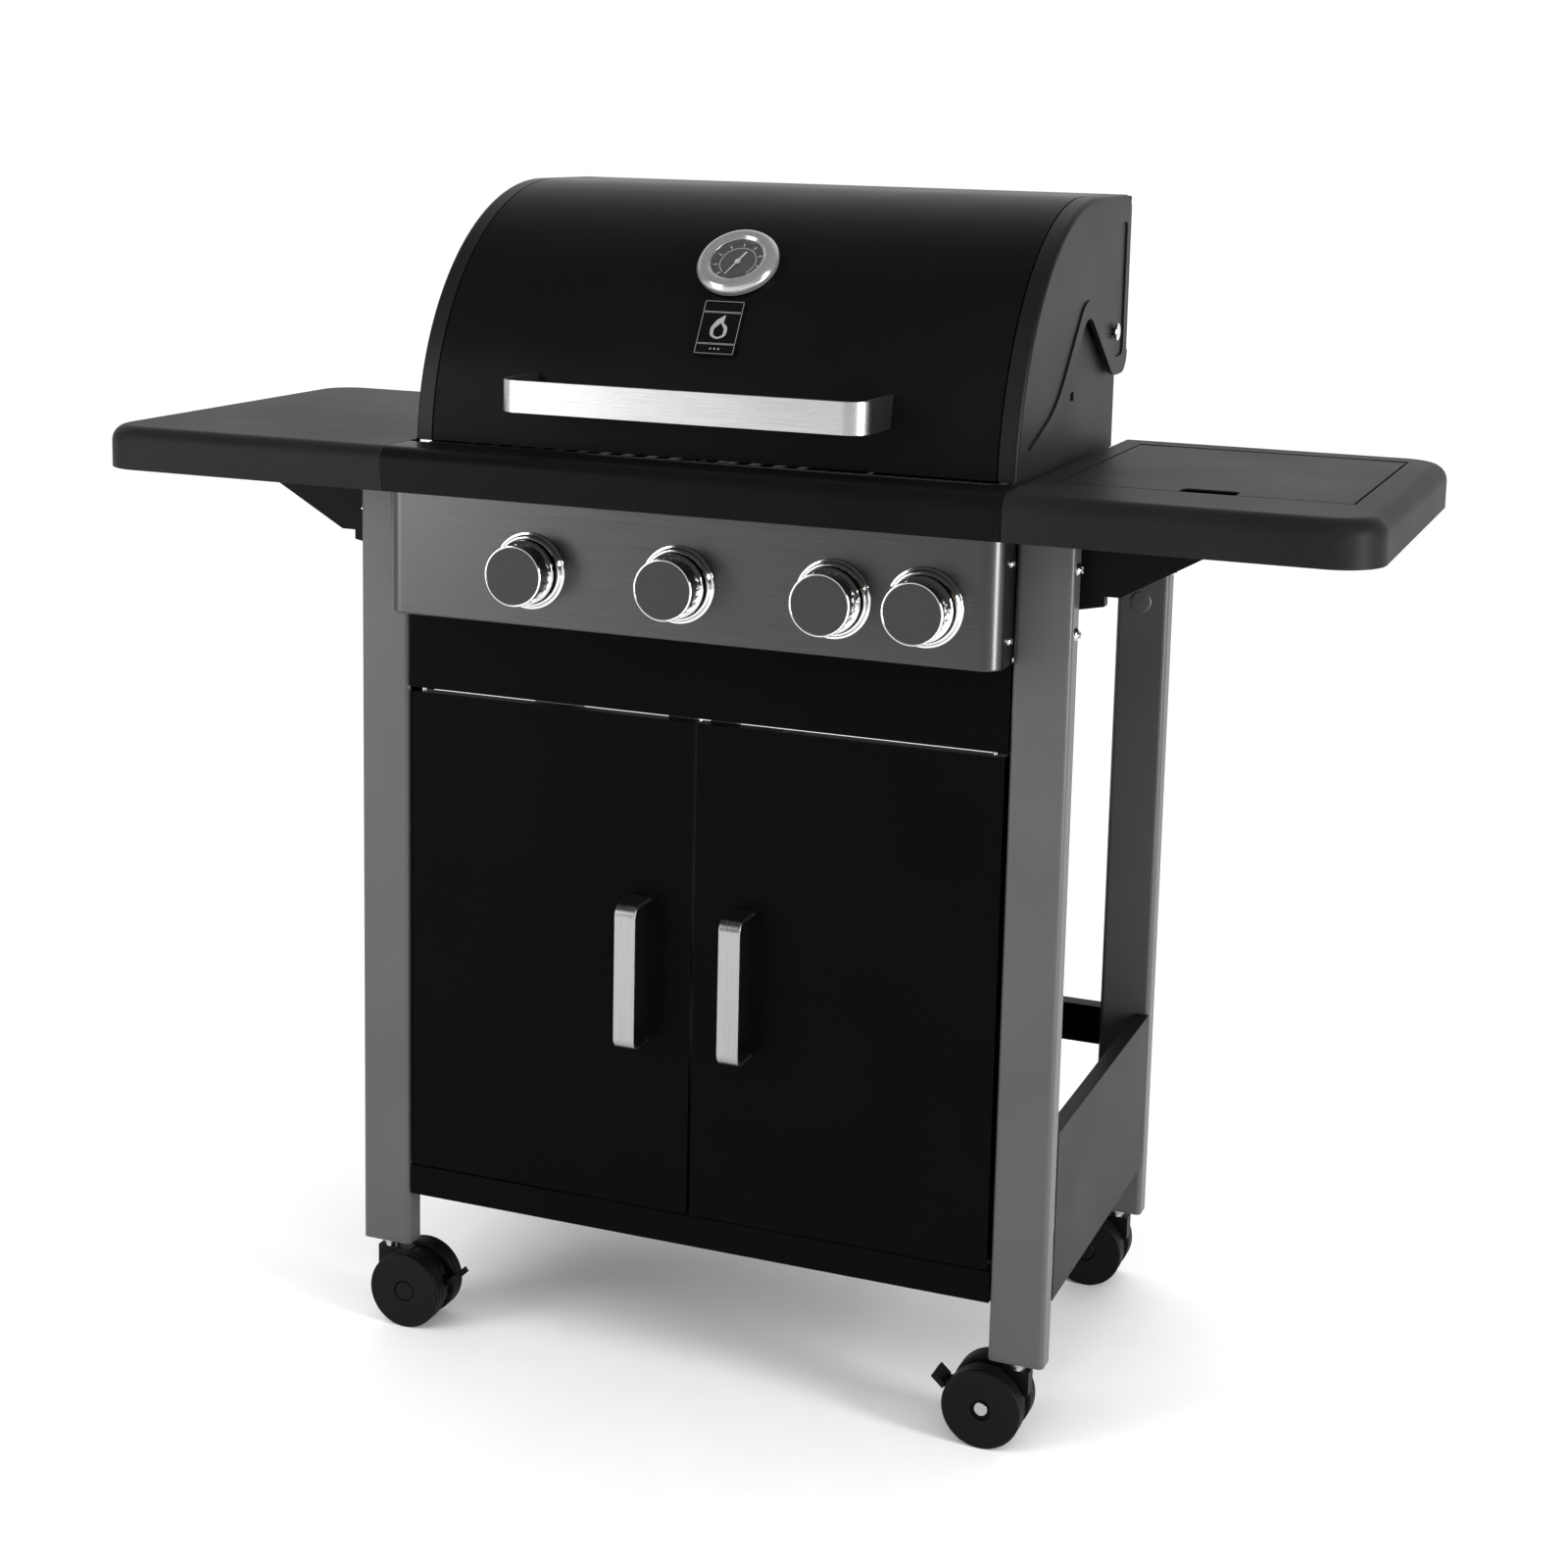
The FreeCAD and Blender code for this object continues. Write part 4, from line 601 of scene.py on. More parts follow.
class GRILL_OT_legs(bpy.types.Operator):
    """Builds the four tube legs, their foot plugs and the round plug in the rear right leg"""

    bl_idname = "grill.legs"
    bl_label = "Legs"

    def execute(self, context):
        width = sizes().leg_width
        for row in ("front", "rear"):
            low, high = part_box(f"{row}_legs")
            pair = [leg(f"leg_{row}_left", low.x, low.x + width, low.y, high.y, low.z, high.z),
                    leg(f"leg_{row}_right", high.x - width, high.x, low.y, high.y, low.z, high.z)]
            fit(joined(f"tube_legs_{row}", pair), "cart", "leg_grey", "leg_grey", f"{row}_legs")
        softened("leg_foot_plugs", "cart", "caster_black", "leg_grey",
                 "caster_sockets", width=1.3 * MM, segments=3)
        low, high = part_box("rear_legs")
        plug = turned("leg_plug", mm((0, 1.2), (4, 1.2), (9.6, 0.9, 2), (10.6, 0)))
        placed(plug, (high.x - width * 0.53, low.y, LEG_PLUG_HEIGHT), about_x=QUARTER_TURN)
        fit(smooth(plug), "cart", "panel_grey", "leg_grey")
        return {"FINISHED"}


class GRILL_OT_cart_sheets(bpy.types.Operator):
    """Builds the bottom shelf, side panels, rear rails, header and gusset brackets"""

    bl_idname = "grill.cart_sheets"
    bl_label = "Cart sheets"

    def execute(self, context):
        fold = sizes().fold
        softened("bottom_pan", "cart", "black_coat", "door_black", "bottom_shelf",
                 width=fold, segments=3)
        softened("lower_side_panels", "cart", "panel_grey", "panel_grey",
                 "side_panels", width=0.5 * MM)
        softened("rear_cross_rails", "cart", "black_coat", "black_coat", "rear_rails",
                 width=0.5 * MM)
        softened("header_channel", "cart", "door_black", "door_black", "door_header",
                 width=0.55 * MM)
        softened("gusset_brackets", "cart", "black_coat", "black_coat",
                 "shelf_brackets", width=0.4 * MM)
        self.door_stops()
        return {"FINISHED"}

    def door_stops(self):
        """Angle strips on the front legs' inner faces that close the slits beside the doors."""
        door_low, door_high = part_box("door_right")
        leg_low, leg_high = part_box("front_legs")
        face, gauge, front = leg_high.x - sizes().leg_width, 0.7 * MM, leg_low.y + 5 * MM
        behind, stop = leg_low.y + 19.8 * MM, leg_low.y + 21 * MM
        angle = [(face, front), (face, stop), (face - 16 * MM, stop), (face - 16 * MM, behind),
                 (face - gauge, behind), (face - gauge, front)]
        cheek = [(face, front), (face, stop + 8 * MM), (face - gauge, stop + 8 * MM),
                 (face - gauge, front)]
        head_low, head_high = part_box("door_header")
        panel_low, panel_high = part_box("control_panel")
        clear = sizes().sheet + 0.1 * MM
        parts = [solid("stop_angle", angle, "XY", door_low.z, door_high.z),
                 solid("head_angle", angle, "XY", head_low.z + clear, head_high.z - clear),
                 solid("panel_angle", angle, "XY", panel_low.z + clear, panel_high.z - clear),
                 solid("stop_cheek", cheek, "XY", door_high.z, panel_high.z)]
        right = joined("door_stop_right", parts)
        left = mirrored(right, "door_stop_left")
        fit(smooth(joined("door_stops", [right, left])), "cart", "door_black", "door_black")


class GRILL_OT_control_panel(bpy.types.Operator):
    """Builds the brushed control panel with its rounded ends and turned-in lower edge"""

    bl_idname = "grill.control_panel"
    bl_label = "Control panel"

    def execute(self, context):
        low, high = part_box("control_panel")
        bpy.ops.object.select_all(action="DESELECT")
        bpy.ops.mesh.primitive_cube_add(size=1, location=(low + high) / 2, scale=high - low)
        piece = bpy.context.object
        piece.name = "panel_sheet"
        bpy.ops.object.transform_apply(location=True, rotation=True, scale=True)
        corner = sizes().panel_corner
        with editing(piece):
            pick(piece, "edges", lambda edge: abs(edge.verts[0].co.z - edge.verts[1].co.z) > 0.05
                 and middle(edge).y < low.y + MM)
            bpy.ops.mesh.bevel(offset=corner, segments=14)
            pick(piece, "edges", lambda edge: middle(edge).z < low.z + 0.1 * MM
                 and middle(edge).y < high.y - MM)
            bpy.ops.mesh.bevel(offset=2.2 * MM, segments=5)
            pick(piece, "faces", facing((0, 0, -1), 0.99))
            bpy.ops.mesh.inset(thickness=14 * MM)
            bpy.ops.mesh.delete(type="FACE")
            pick(piece, "faces", lambda face: facing((0, 0, 1))(face) or facing((0, 1, 0))(face))
            bpy.ops.mesh.delete(type="FACE")
        apply_modifier(piece, "SOLIDIFY", thickness=sizes().sheet, offset=-1)
        holes = []
        for number in KNOBS:
            stem_low, stem_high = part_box(f"valve_stem_{number}")
            hole = turned(f"hole_{number}", mm((0, -6), (12, -6), (12, 6), (0, 6)), steps=48)
            centre = (stem_low + stem_high) / 2
            holes.append(placed(hole, (centre.x, low.y, centre.z), about_x=QUARTER_TURN))
        carved(piece, holes)
        eased(piece, 0.25 * MM)
        fit(piece, "cart", "panel_steel", "panel_steel", "control_panel")
        return {"FINISHED"}


def nosed_shelf(name, side):
    """A pressed shelf: rounded outer corners, a bullnosed edge, open below."""
    low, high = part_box(f"{side}_shelf")
    corner, nose = sizes().shelf_corner, sizes().bullnose
    seam, out = (high.x, low.x) if side == "left" else (low.x, high.x)
    outline = [(seam, low.y), (out, low.y, corner), (out, high.y, corner), (seam, high.y)]
    piece = solid(name, outline, "XY", high.z, low.z, step=5)
    with editing(piece):
        pick(piece, "edges", lambda edge: abs(middle(edge).z - high.z) < 0.01 * MM
             and abs(middle(edge).x - seam) > 0.01 * MM)
        bpy.ops.mesh.bevel(offset=nose, segments=10)
        pick(piece, "faces", lambda face: face.normal.z < -0.9
             or abs(middle(face).x - seam) < 0.01 * MM)
        bpy.ops.mesh.delete(type="FACE")
    apply_modifier(piece, "SOLIDIFY", thickness=sizes().sheet, offset=-1)
    return piece


class GRILL_OT_shelves(bpy.types.Operator):
    """Builds both side shelves and the bullnosed front rail between them"""

    bl_idname = "grill.shelves"
    bl_label = "Shelves"

    def execute(self, context):
        sheet, nose = sizes().sheet, sizes().bullnose
        left = eased(nosed_shelf("shelf_panel_left", "left"), 0.25 * MM)
        fit(left, "cart", "black_coat", "shelf_coat", "left_shelf")
        right = nosed_shelf("shelf_panel_right", "right")
        lid_low, lid_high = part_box("side_burner_lid")
        gap = 2 * MM
        opening = solid("lid_opening", [
            (lid_low.x - gap, lid_low.y - gap), (lid_high.x + gap, lid_low.y - gap),
            (lid_high.x + gap, lid_high.y + gap), (lid_low.x - gap, lid_high.y + gap)],
            "XY", lid_high.z - 0.02, lid_high.z + 0.02)
        carved(right, [opening])
        eased(right, 0.25 * MM)
        fit(right, "cart", "black_coat", "shelf_coat", "right_shelf")
        low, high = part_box("front_rail")
        lip = 12 * MM
        rail = solid("nose_rail", [
            (high.y, high.z), (low.y, high.z, nose), (low.y, low.z), (low.y + lip, low.z),
            (low.y + lip, low.z + sheet), (low.y + sheet, low.z + sheet),
            (low.y + sheet, high.z - sheet, nose - sheet), (high.y, high.z - sheet)],
            "YZ", low.x, high.x)
        eased(rail, 0.25 * MM)
        fit(rail, "cart", "black_coat", "black_coat", "front_rail")
        return {"FINISHED"}


def screw_head(name, radius, height):
    """A button head with a cross recess, standing on the floor plane."""
    head = turned(name, [(0, height), (radius * 0.35, height), (radius, height * 0.55, radius * 0.8),
                         (radius, 0), (0, 0)], steps=32)
    arm, slim = radius * 0.46, radius * 0.12
    cross = [(slim, slim), (arm, slim), (arm, -slim), (slim, -slim), (slim, -arm), (-slim, -arm),
             (-slim, -slim), (-arm, -slim), (-arm, slim), (-slim, slim), (-slim, arm), (slim, arm)]
    tool = solid("cross_recess", cross, "XY", height * 0.45, height * 1.5)
    carved(head, [tool])
    return smooth(head)


class GRILL_OT_screws(bpy.types.Operator):
    """Builds the button-head screws on the panel ends and the legs"""

    bl_idname = "grill.screws"
    bl_label = "Screws"

    def execute(self, context):
        low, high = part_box("front_legs")
        rear_low, rear_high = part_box("rear_legs")
        panel_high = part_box("control_panel")[1]
        small = screw_head("small_head", 4.2 * MM, 2.3 * MM)
        large = screw_head("large_head", 6.2 * MM, 3.2 * MM)
        places = [(small, panel_high.x, panel_high.y - 14 * MM, z)
                  for z in PANEL_SCREW_HEIGHTS]
        for y in ((low.y + high.y) / 2, (rear_low.y + rear_high.y) / 2):
            places += [(large, high.x, y, z) for z in LEG_SCREW_HEIGHTS]
        heads = []
        for head, x, y, z in places:
            for sign in SIDES.values():
                twin = copied(head, f"screw_{len(heads)}")
                heads.append(placed(twin, (sign * x, y, z), about_y=math.radians(90 * sign)))
        for head in (small, large):
            use(head)
            bpy.ops.object.delete()
        fit(joined("button_screws", heads), "cart", "zinc", "zinc", "frame_screws")
        return {"FINISHED"}


# ---------------------------------------------------------------- firebox and gas parts
class GRILL_OT_firebox(bpy.types.Operator):
    """Builds the firebox, its pivots and the grease tray under it"""

    bl_idname = "grill.firebox"
    bl_label = "Firebox"

    def execute(self, context):
        softened("firebox_tub", "cart", "firebox_black", "firebox_black", "firebox",
                 width=0.6 * MM)
        softened("pivot_screws", "cart", "zinc", "chrome", "lid_pivots",
                 width=1.1 * MM, segments=4)
        softened("drip_tray", "grease_tray", "galvanised", "galvanised",
                 "grease_tray", width=0.4 * MM)
        return {"FINISHED"}


class GRILL_OT_cooking_parts(bpy.types.Operator):
    """Builds burners, flame tamers, cooking grates and the warming rack"""

    bl_idname = "grill.cooking_parts"
    bl_label = "Cooking parts"

    def execute(self, context):
        softened("tube_burners", "cart", "burner_steel", "burner_steel",
                 "burner_tubes", width=0.3 * MM)
        softened("tamer_plates", "cart", "burner_steel", "burner_steel",
                 "flame_tamers", width=0.5 * MM)
        softened("iron_grates", "cart", "grate_iron", "grate_iron", "cooking_grates",
                 width=2.2 * MM, segments=3)
        softened("wire_rack", "cart", "chrome", "chrome", "warming_rack",
                 width=0.4 * MM)
        return {"FINISHED"}


class GRILL_OT_gas_parts(bpy.types.Operator):
    """Builds the gas rail, valves and valve stems"""

    bl_idname = "grill.gas_parts"
    bl_label = "Gas parts"

    def execute(self, context):
        softened("gas_rail", "cart", "galvanised", "firebox_black", "gas_manifold",
                 width=0.4 * MM)
        softened("valve_bodies", "cart", "brass", "brass", "gas_valves",
                 width=0.6 * MM)
        for number in KNOBS:
            softened(f"stem_rod_{number}", f"valve_stem_{number}", "brass", "brass",
                     f"valve_stem_{number}", width=0.3 * MM)
        return {"FINISHED"}


class GRILL_OT_side_burner(bpy.types.Operator):
    """Builds the side burner's bowl, head, pan support and flush lid"""

    bl_idname = "grill.side_burner"
    bl_label = "Side burner"

    def execute(self, context):
        softened("burner_bowl", "cart", "black_coat", "firebox_black",
                 "side_burner_bowl", width=0.4 * MM)
        softened("burner_cap", "cart", "grate_iron", "grate_iron",
                 "side_burner_head", width=0.8 * MM)
        softened("pan_support", "cart", "grate_iron", "grate_iron",
                 "side_burner_grate", width=1.2 * MM, segments=3)
        softened("flush_lid", "side_burner_lid", "black_coat", "shelf_coat",
                 "side_burner_lid", width=0.4 * MM)
        return {"FINISHED"}


# ---------------------------------------------------------------- knobs
def knob_grip(number, centre, depth, radius):
    """A plated grip with raised ribs and a rounded front rim, turned about Z."""
    ribs, each = sizes().knob_ribs, 4
    steps = ribs * each
    rim = depth - 1.6 * MM
    piece = turned(f"knob_grip_{number}", [
        (3.06 * MM, depth - 5 * MM), (3.06 * MM, 0), (radius + 1.5 * MM, 0, 0.6 * MM),
        (radius + 1.5 * MM, 3 * MM, 0.8 * MM), (radius - 1.1 * MM, 5 * MM),
        (radius - 1.1 * MM, rim), (radius, depth - 1.4 * MM), (radius, depth, 1.1 * MM),
        (radius - 1.7 * MM, depth, 0.5 * MM), (radius - 1.7 * MM, depth - 0.5 * MM),
        (0, depth - 0.5 * MM)], steps=steps)

    def on_rib(face):
        spot = middle(face)
        share = (math.atan2(spot.y, spot.x) / WHOLE_TURN) % 1
        along = math.hypot(spot.x, spot.y) > radius - 1.3 * MM and 5 * MM < spot.z < rim
        return along and int(share * steps) % each == 0

    with editing(piece):
        pick(piece, "faces", on_rib)
        bpy.ops.mesh.extrude_region_shrink_fatten(
            TRANSFORM_OT_shrink_fatten={"value": 0.9 * MM, "use_even_offset": True})
    placed(piece, centre, about_x=QUARTER_TURN)
    return smooth(piece)


class GRILL_OT_knobs(bpy.types.Operator):
    """Builds the four knobs with their inlays, and the stepped bezels behind them"""

    bl_idname = "grill.knobs"
    bl_label = "Knobs"

    def execute(self, context):
        bezel_low, bezel_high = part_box("knob_bezels")
        outer, thick = (bezel_high.z - bezel_low.z) / 2, bezel_high.y - bezel_low.y
        rings = []
        for number in KNOBS:
            low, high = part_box(f"knob_{number}")
            middle_x, middle_z = (low.x + high.x) / 2, (low.z + high.z) / 2
            depth, radius = high.y - low.y, (high.z - low.z) / 2 - 1.5 * MM
            grip = knob_grip(number, (middle_x, high.y, middle_z), depth, radius)
            fit(grip, f"knob_{number}", "chrome", "chrome", f"knob_{number}")
            face = turned(f"knob_inlay_{number}", [
                (0, depth - 0.15 * MM), (radius - 1.9 * MM, depth - 0.15 * MM, 0.15 * MM),
                (radius - 1.9 * MM, depth - 0.5 * MM), (0, depth - 0.5 * MM)])
            placed(face, (middle_x, high.y, middle_z), about_x=QUARTER_TURN)
            fit(smooth(face), f"knob_{number}", "knob_dark", "knob_dark")
            ring = turned(f"ring_{number}", [
                (12 * MM, thick * 0.4), (12 * MM, 0), (outer, 0), (outer, thick * 0.26, 0.7 * MM),
                (outer - 2.2 * MM, thick * 0.36, 0.4 * MM), (outer - 2.6 * MM, thick, 2.6 * MM),
                (outer - 6.2 * MM, thick, 1.6 * MM), (outer - 6.2 * MM, thick * 0.4)], steps=96)
            placed(ring, (middle_x, bezel_high.y, middle_z), about_x=QUARTER_TURN)
            rings.append(smooth(ring))
        fit(joined("bezel_rings", rings), "cart", "chrome", "chrome", "knob_bezels")
        return {"FINISHED"}


# ---------------------------------------------------------------- doors
class GRILL_OT_doors(bpy.types.Operator):
    """Builds the two pan doors, their hinge pins and the magnets"""

    bl_idname = "grill.doors"
    bl_label = "Doors"

    def execute(self, context):
        for side in SIDES:
            softened(f"door_pan_{side}", f"door_{side}", "door_black", "door_black",
                     f"door_{side}", width=sizes().fold, segments=3)
        softened("pins", "cart", "zinc", "zinc", "hinge_pins", width=0.3 * MM)
        softened("magnet_blocks", "cart", "magnet_grey", "magnet_grey",
                 "door_magnets", width=1.0 * MM)
        return {"FINISHED"}


def bent_bar(name, plane, ends, root, reach, thick, bend, low, high):
    """A flat bar bent back at both ends; ends are its outer ends along the plane's first axis."""
    first, last = ends
    corners = [(first, root), (first, reach, bend), (last, reach, bend), (last, root),
               (last - thick, root), (last - thick, reach + thick, bend - thick),
               (first + thick, reach + thick, bend - thick), (first + thick, root)]
    if plane == "YZ":
        corners = [(v, u, *rest) for u, v, *rest in corners]
    return solid(name, corners, plane, low, high, step=6)


class GRILL_OT_handles(bpy.types.Operator):
    """Builds the lid's handle and the two door handles"""

    bl_idname = "grill.handles"
    bl_label = "Handles"

    def execute(self, context):
        for side in SIDES:
            low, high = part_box(f"door_handle_{side}")
            bar = bent_bar(f"pull_bar_{side}", "YZ", (low.z, high.z), high.y, low.y,
                           sizes().pull_thick, sizes().pull_bend, low.x, high.x)
            fit(eased(bar, 0.9 * MM, 3), f"door_{side}", "pull_aluminium",
                "pull_aluminium", f"door_handle_{side}")
        low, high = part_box("lid_handle")
        bar = bent_bar("lid_bar", "XY", (low.x, high.x), high.y, low.y, sizes().handle_thick,
                       sizes().handle_bend, low.z, high.z)
        arc_y, arc_z = lid_arc_centre()
        seat = turned("handle_seat", [(0, -0.2), (sizes().lid_arc + 0.2 * MM, -0.2),
                                      (sizes().lid_arc + 0.2 * MM, 0.2), (0, 0.2)], steps=256)
        placed(seat, (0, arc_y, arc_z), about_y=QUARTER_TURN)
        carved(bar, [seat])
        fit(eased(bar, 1.1 * MM, 3), "lid", "pull_aluminium", "bar_aluminium",
            "lid_handle")
        return {"FINISHED"}


# ---------------------------------------------------------------- lid
def lid_line(inset=0.0):
    """The front, top and rear corners of the lid's side view, moved inwards by inset."""
    low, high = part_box("lid_shell")
    return [(low.y + inset, low.z), (low.y + sizes().lid_lean + inset, high.z - inset,
                                     sizes().lid_arc - inset),
            (high.y - inset, high.z - inset, sizes().lid_rear_corner - inset)]


def lid_arc_centre():
    """Y and Z of the middle of the lid's front curve."""
    low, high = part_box("lid_shell")
    corner = arcs_of(lid_line() + [(high.y, low.z)], "YZ", 0.0, False)[1]
    return corner[2].y, corner[2].z


def on_lid(piece, angle, lift=0.0):
    """Stand a piece, made about Z, on the lid's curve at an angle above the level."""
    centre_y, centre_z = lid_arc_centre()
    reach = sizes().lid_arc + lift
    at = (0, centre_y - reach * math.cos(angle), centre_z + reach * math.sin(angle))
    return placed(piece, at, about_x=QUARTER_TURN - angle)


class GRILL_OT_lid_sheet(bpy.types.Operator):
    """Builds the rolled sheet between the lid's end caps"""

    bl_idname = "grill.lid_sheet"
    bl_label = "Lid sheet"

    def execute(self, context):
        low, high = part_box("lid_shell")
        wall = sizes().sheet
        rear_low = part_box("firebox")[1].z - 55 * MM
        outline = lid_line() + [(high.y, rear_low), (high.y - wall, rear_low)]
        outline += lid_line(wall)[::-1]
        piece = solid("lid_sheet", outline, "YZ", low.x, high.x, step=1.5)
        eased(piece, 0.35 * MM)
        fit(piece, "lid", "black_coat", "black_coat", "lid_shell")
        # Thin strips under the joints between the sheet and the end caps close the gaps. They take
        # the darkest door coat rather than the lid's own coat, as painted shadow in the joint gaps.
        near, deep, end = 3.2 * MM, 4.0 * MM, high.y - 22 * MM
        loop = lid_line(near)[:2] + [(end, high.z - near), (end, high.z - deep)]
        loop += lid_line(deep)[1::-1]
        strip = solid("joint_strip_right", loop, "YZ", high.x - 6 * MM, high.x + 7 * MM, step=3)
        strips = joined("joint_strips", [strip, mirrored(strip, "joint_strip_left")])
        fit(smooth(strips), "lid", "black_coat", "door_black")
        return {"FINISHED"}


CAP_EDGE = ((0.217, 0.949, 0.022), (0.165, 0.948, 0.040), (0.066, 1.018, 0.026),
            (-0.0275, 0.919, 0.150))
CAP_FIELD = ((-0.1278, 0.9035, 0.006), (-0.1009, 1.096, 0.212), (0.199, 1.096, 0.005),
             (0.199, 0.967, 0.009), (0.168, 0.9655, 0.027), (0.066, 1.0395, 0.039),
             (-0.034, 0.9355, 0.137))


class GRILL_OT_lid_caps(bpy.types.Operator):
    """Builds the cast end caps: a side plate with a sunk field, and a rim along the curve"""

    bl_idname = "grill.lid_caps"
    bl_label = "Lid end caps"

    def execute(self, context):
        low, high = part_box("lid_cap_right")
        plate, rim = 4.5 * MM, 3 * MM
        piece = solid("end_cap_right", lid_line() + list(CAP_EDGE), "YZ", high.x,
                      high.x - plate, step=2)
        centre_y, centre_z = lid_arc_centre()
        edge = sizes().lid_arc - rim - 0.5 * MM

        def along_curve(face):
            spot = middle(face)
            upper = spot.z > high.z - rim * 1.5
            front = math.hypot(spot.y - centre_y, spot.z - centre_z) > edge and spot.y < centre_y
            return (upper or front) and spot.y < high.y - 20 * MM

        def on_rounding(item):
            spot = middle(item)
            curve = math.hypot(spot.y - centre_y, spot.z - centre_z) > sizes().lid_arc - MM
            outer = (curve and spot.y < centre_y) or spot.z > high.z - MM
            rear = spot.y > high.y - 5 * MM and spot.z > CAP_EDGE[0][1] + CAP_EDGE[0][2]
            return abs(spot.x - high.x) < 0.01 * MM and (outer or rear)

        with editing(piece):
            pick(piece, "edges", on_rounding)
            bpy.ops.mesh.bevel(offset=sizes().cap_edge, segments=7)
            pick(piece, "faces", facing((-1, 0, 0), 0.99))
            bpy.ops.mesh.inset(thickness=rim)
            pick(piece, "faces", lambda face: facing((-1, 0, 0), 0.99)(face)
                 and along_curve(face) and len(face.verts) == 4)
            bpy.ops.mesh.extrude_region_move(
                TRANSFORM_OT_translate={"value": (low.x - high.x + plate, 0, 0)})
        field = solid("sunk_field", CAP_FIELD, "YZ", high.x - sizes().cap_recess,
                      high.x + 5 * MM, step=3)
        pin_low, pin_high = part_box("lid_pivots")
        pin_at = (high.x, (pin_low.y + pin_high.y) / 2, (pin_low.z + pin_high.z) / 2)
        reach, radius = 30 * MM, 4.1 * MM
        bore = turned("pivot_bore", [(0, -reach), (radius, -reach), (radius, reach), (0, reach)],
                      steps=32)
        placed(bore, pin_at, about_y=QUARTER_TURN)
        carved(piece, [field, bore])
        eased(piece, 0.7 * MM, 3, 40)
        twin = mirrored(piece, "end_cap_left")
        smooth(twin, 40)
        fit(piece, "lid", "cast_cap", "cast_cap", "lid_cap_right")
        fit(twin, "lid", "cast_cap", "cast_cap", "lid_cap_left")
        return {"FINISHED"}


class GRILL_OT_thermometer(bpy.types.Operator):
    """Builds the lid's dial gauge: ring, face, marks, pointer and lens"""

    bl_idname = "grill.thermometer"
    bl_label = "Thermometer"

    def execute(self, context):
        angle = GAUGE_ANGLE
        can = turned("gauge_ring", mm(
            (0, 3.6), (25, 3.6), (25, 9.6, 0.8), (28, 12, 2.5), (35, 12, 5.5), (39.5, 6, 4.5),
            (38, 0.4), (31.5, 0)), steps=128)
        fit(smooth(on_lid(can, angle)), "lid", "chrome", "gauge_steel",
            "thermometer_body")
        face = turned("gauge_face", mm(
            (0, 4.6), (13, 4.6), (13.4, 5.0), (15.2, 5.0), (15.6, 4.6), (24.7, 4.6),
            (24.7, 3.7)), steps=96)
        fit(smooth(on_lid(face, angle), 20), "lid", "dial_black", "dial_black",
            "thermometer_dial")
        marks = []
        count = sizes().dial_marks
        for index in range(count):
            bearing = math.radians(225 - 270 * index / (count - 1))
            mark = solid(f"mark_{index}", mm(
                (19.2, -0.45), (23.2, -0.6, 0.2), (23.2, 0.6, 0.2), (19.2, 0.45)),
                "XY", 4.6 * MM, 4.75 * MM)
            marks.append(placed(mark, about_z=bearing))
        sweep = turned("scale_arc", mm((17.0, 4.7), (17.6, 4.7), (17.6, 4.6), (17.0, 4.6),
                                       (17.0, 4.7)), steps=120)
        first, last = 228, 312
        with editing(sweep):
            pick(sweep, "faces", lambda item: first < math.degrees(
                math.atan2(middle(item).y, middle(item).x)) % 360 < last)
            bpy.ops.mesh.delete(type="FACE")
            pick(sweep, "edges", lambda item: item.is_boundary)
            bpy.ops.mesh.edge_face_add()
        marks.append(sweep)
        scale = on_lid(joined("gauge_scale", marks), angle)
        fit(smooth(scale), "lid", "needle_white", "needle_white")
        blade = solid("blade", mm((-1.1, 13), (-0.35, -18.5, 0.2), (0.35, -18.5, 0.2),
                                  (1.1, 13)), "XY", 5.7 * MM, 6.2 * MM)
        hub = turned("hub", mm((0, 6.9), (2.2, 6.9, 0.5), (3, 5.7), (0, 5.7)), steps=32)
        pointer = placed(joined("gauge_pointer", [blade, hub]), about_z=NEEDLE_REST)
        fit(smooth(on_lid(pointer, angle)), "needle", "needle_white", "needle_white",
            "thermometer_needle")
        lens = turned("gauge_lens", mm((0, 9.4), (24.7, 9.4, 0.2), (24.7, 8.1), (0, 8.1)),
                      steps=96)
        fit(smooth(on_lid(lens, angle)), "lid", "gauge_glass", "gauge_glass",
            "thermometer_glass")
        return {"FINISHED"}


def thin_frame(name, half_x, half_y, corner, width, low, high):
    """A thin raised line round a rounded rectangle."""
    outline = [(-half_x, -half_y, corner), (half_x, -half_y, corner), (half_x, half_y, corner),
               (-half_x, half_y, corner)]
    piece = drawn(name, outline, "XY", low)
    with editing(piece):
        bpy.ops.mesh.select_all(action="SELECT")
        bpy.ops.mesh.inset(thickness=width)
        bpy.ops.mesh.delete(type="FACE")
    return pushed(piece, (0, 0, high - low))


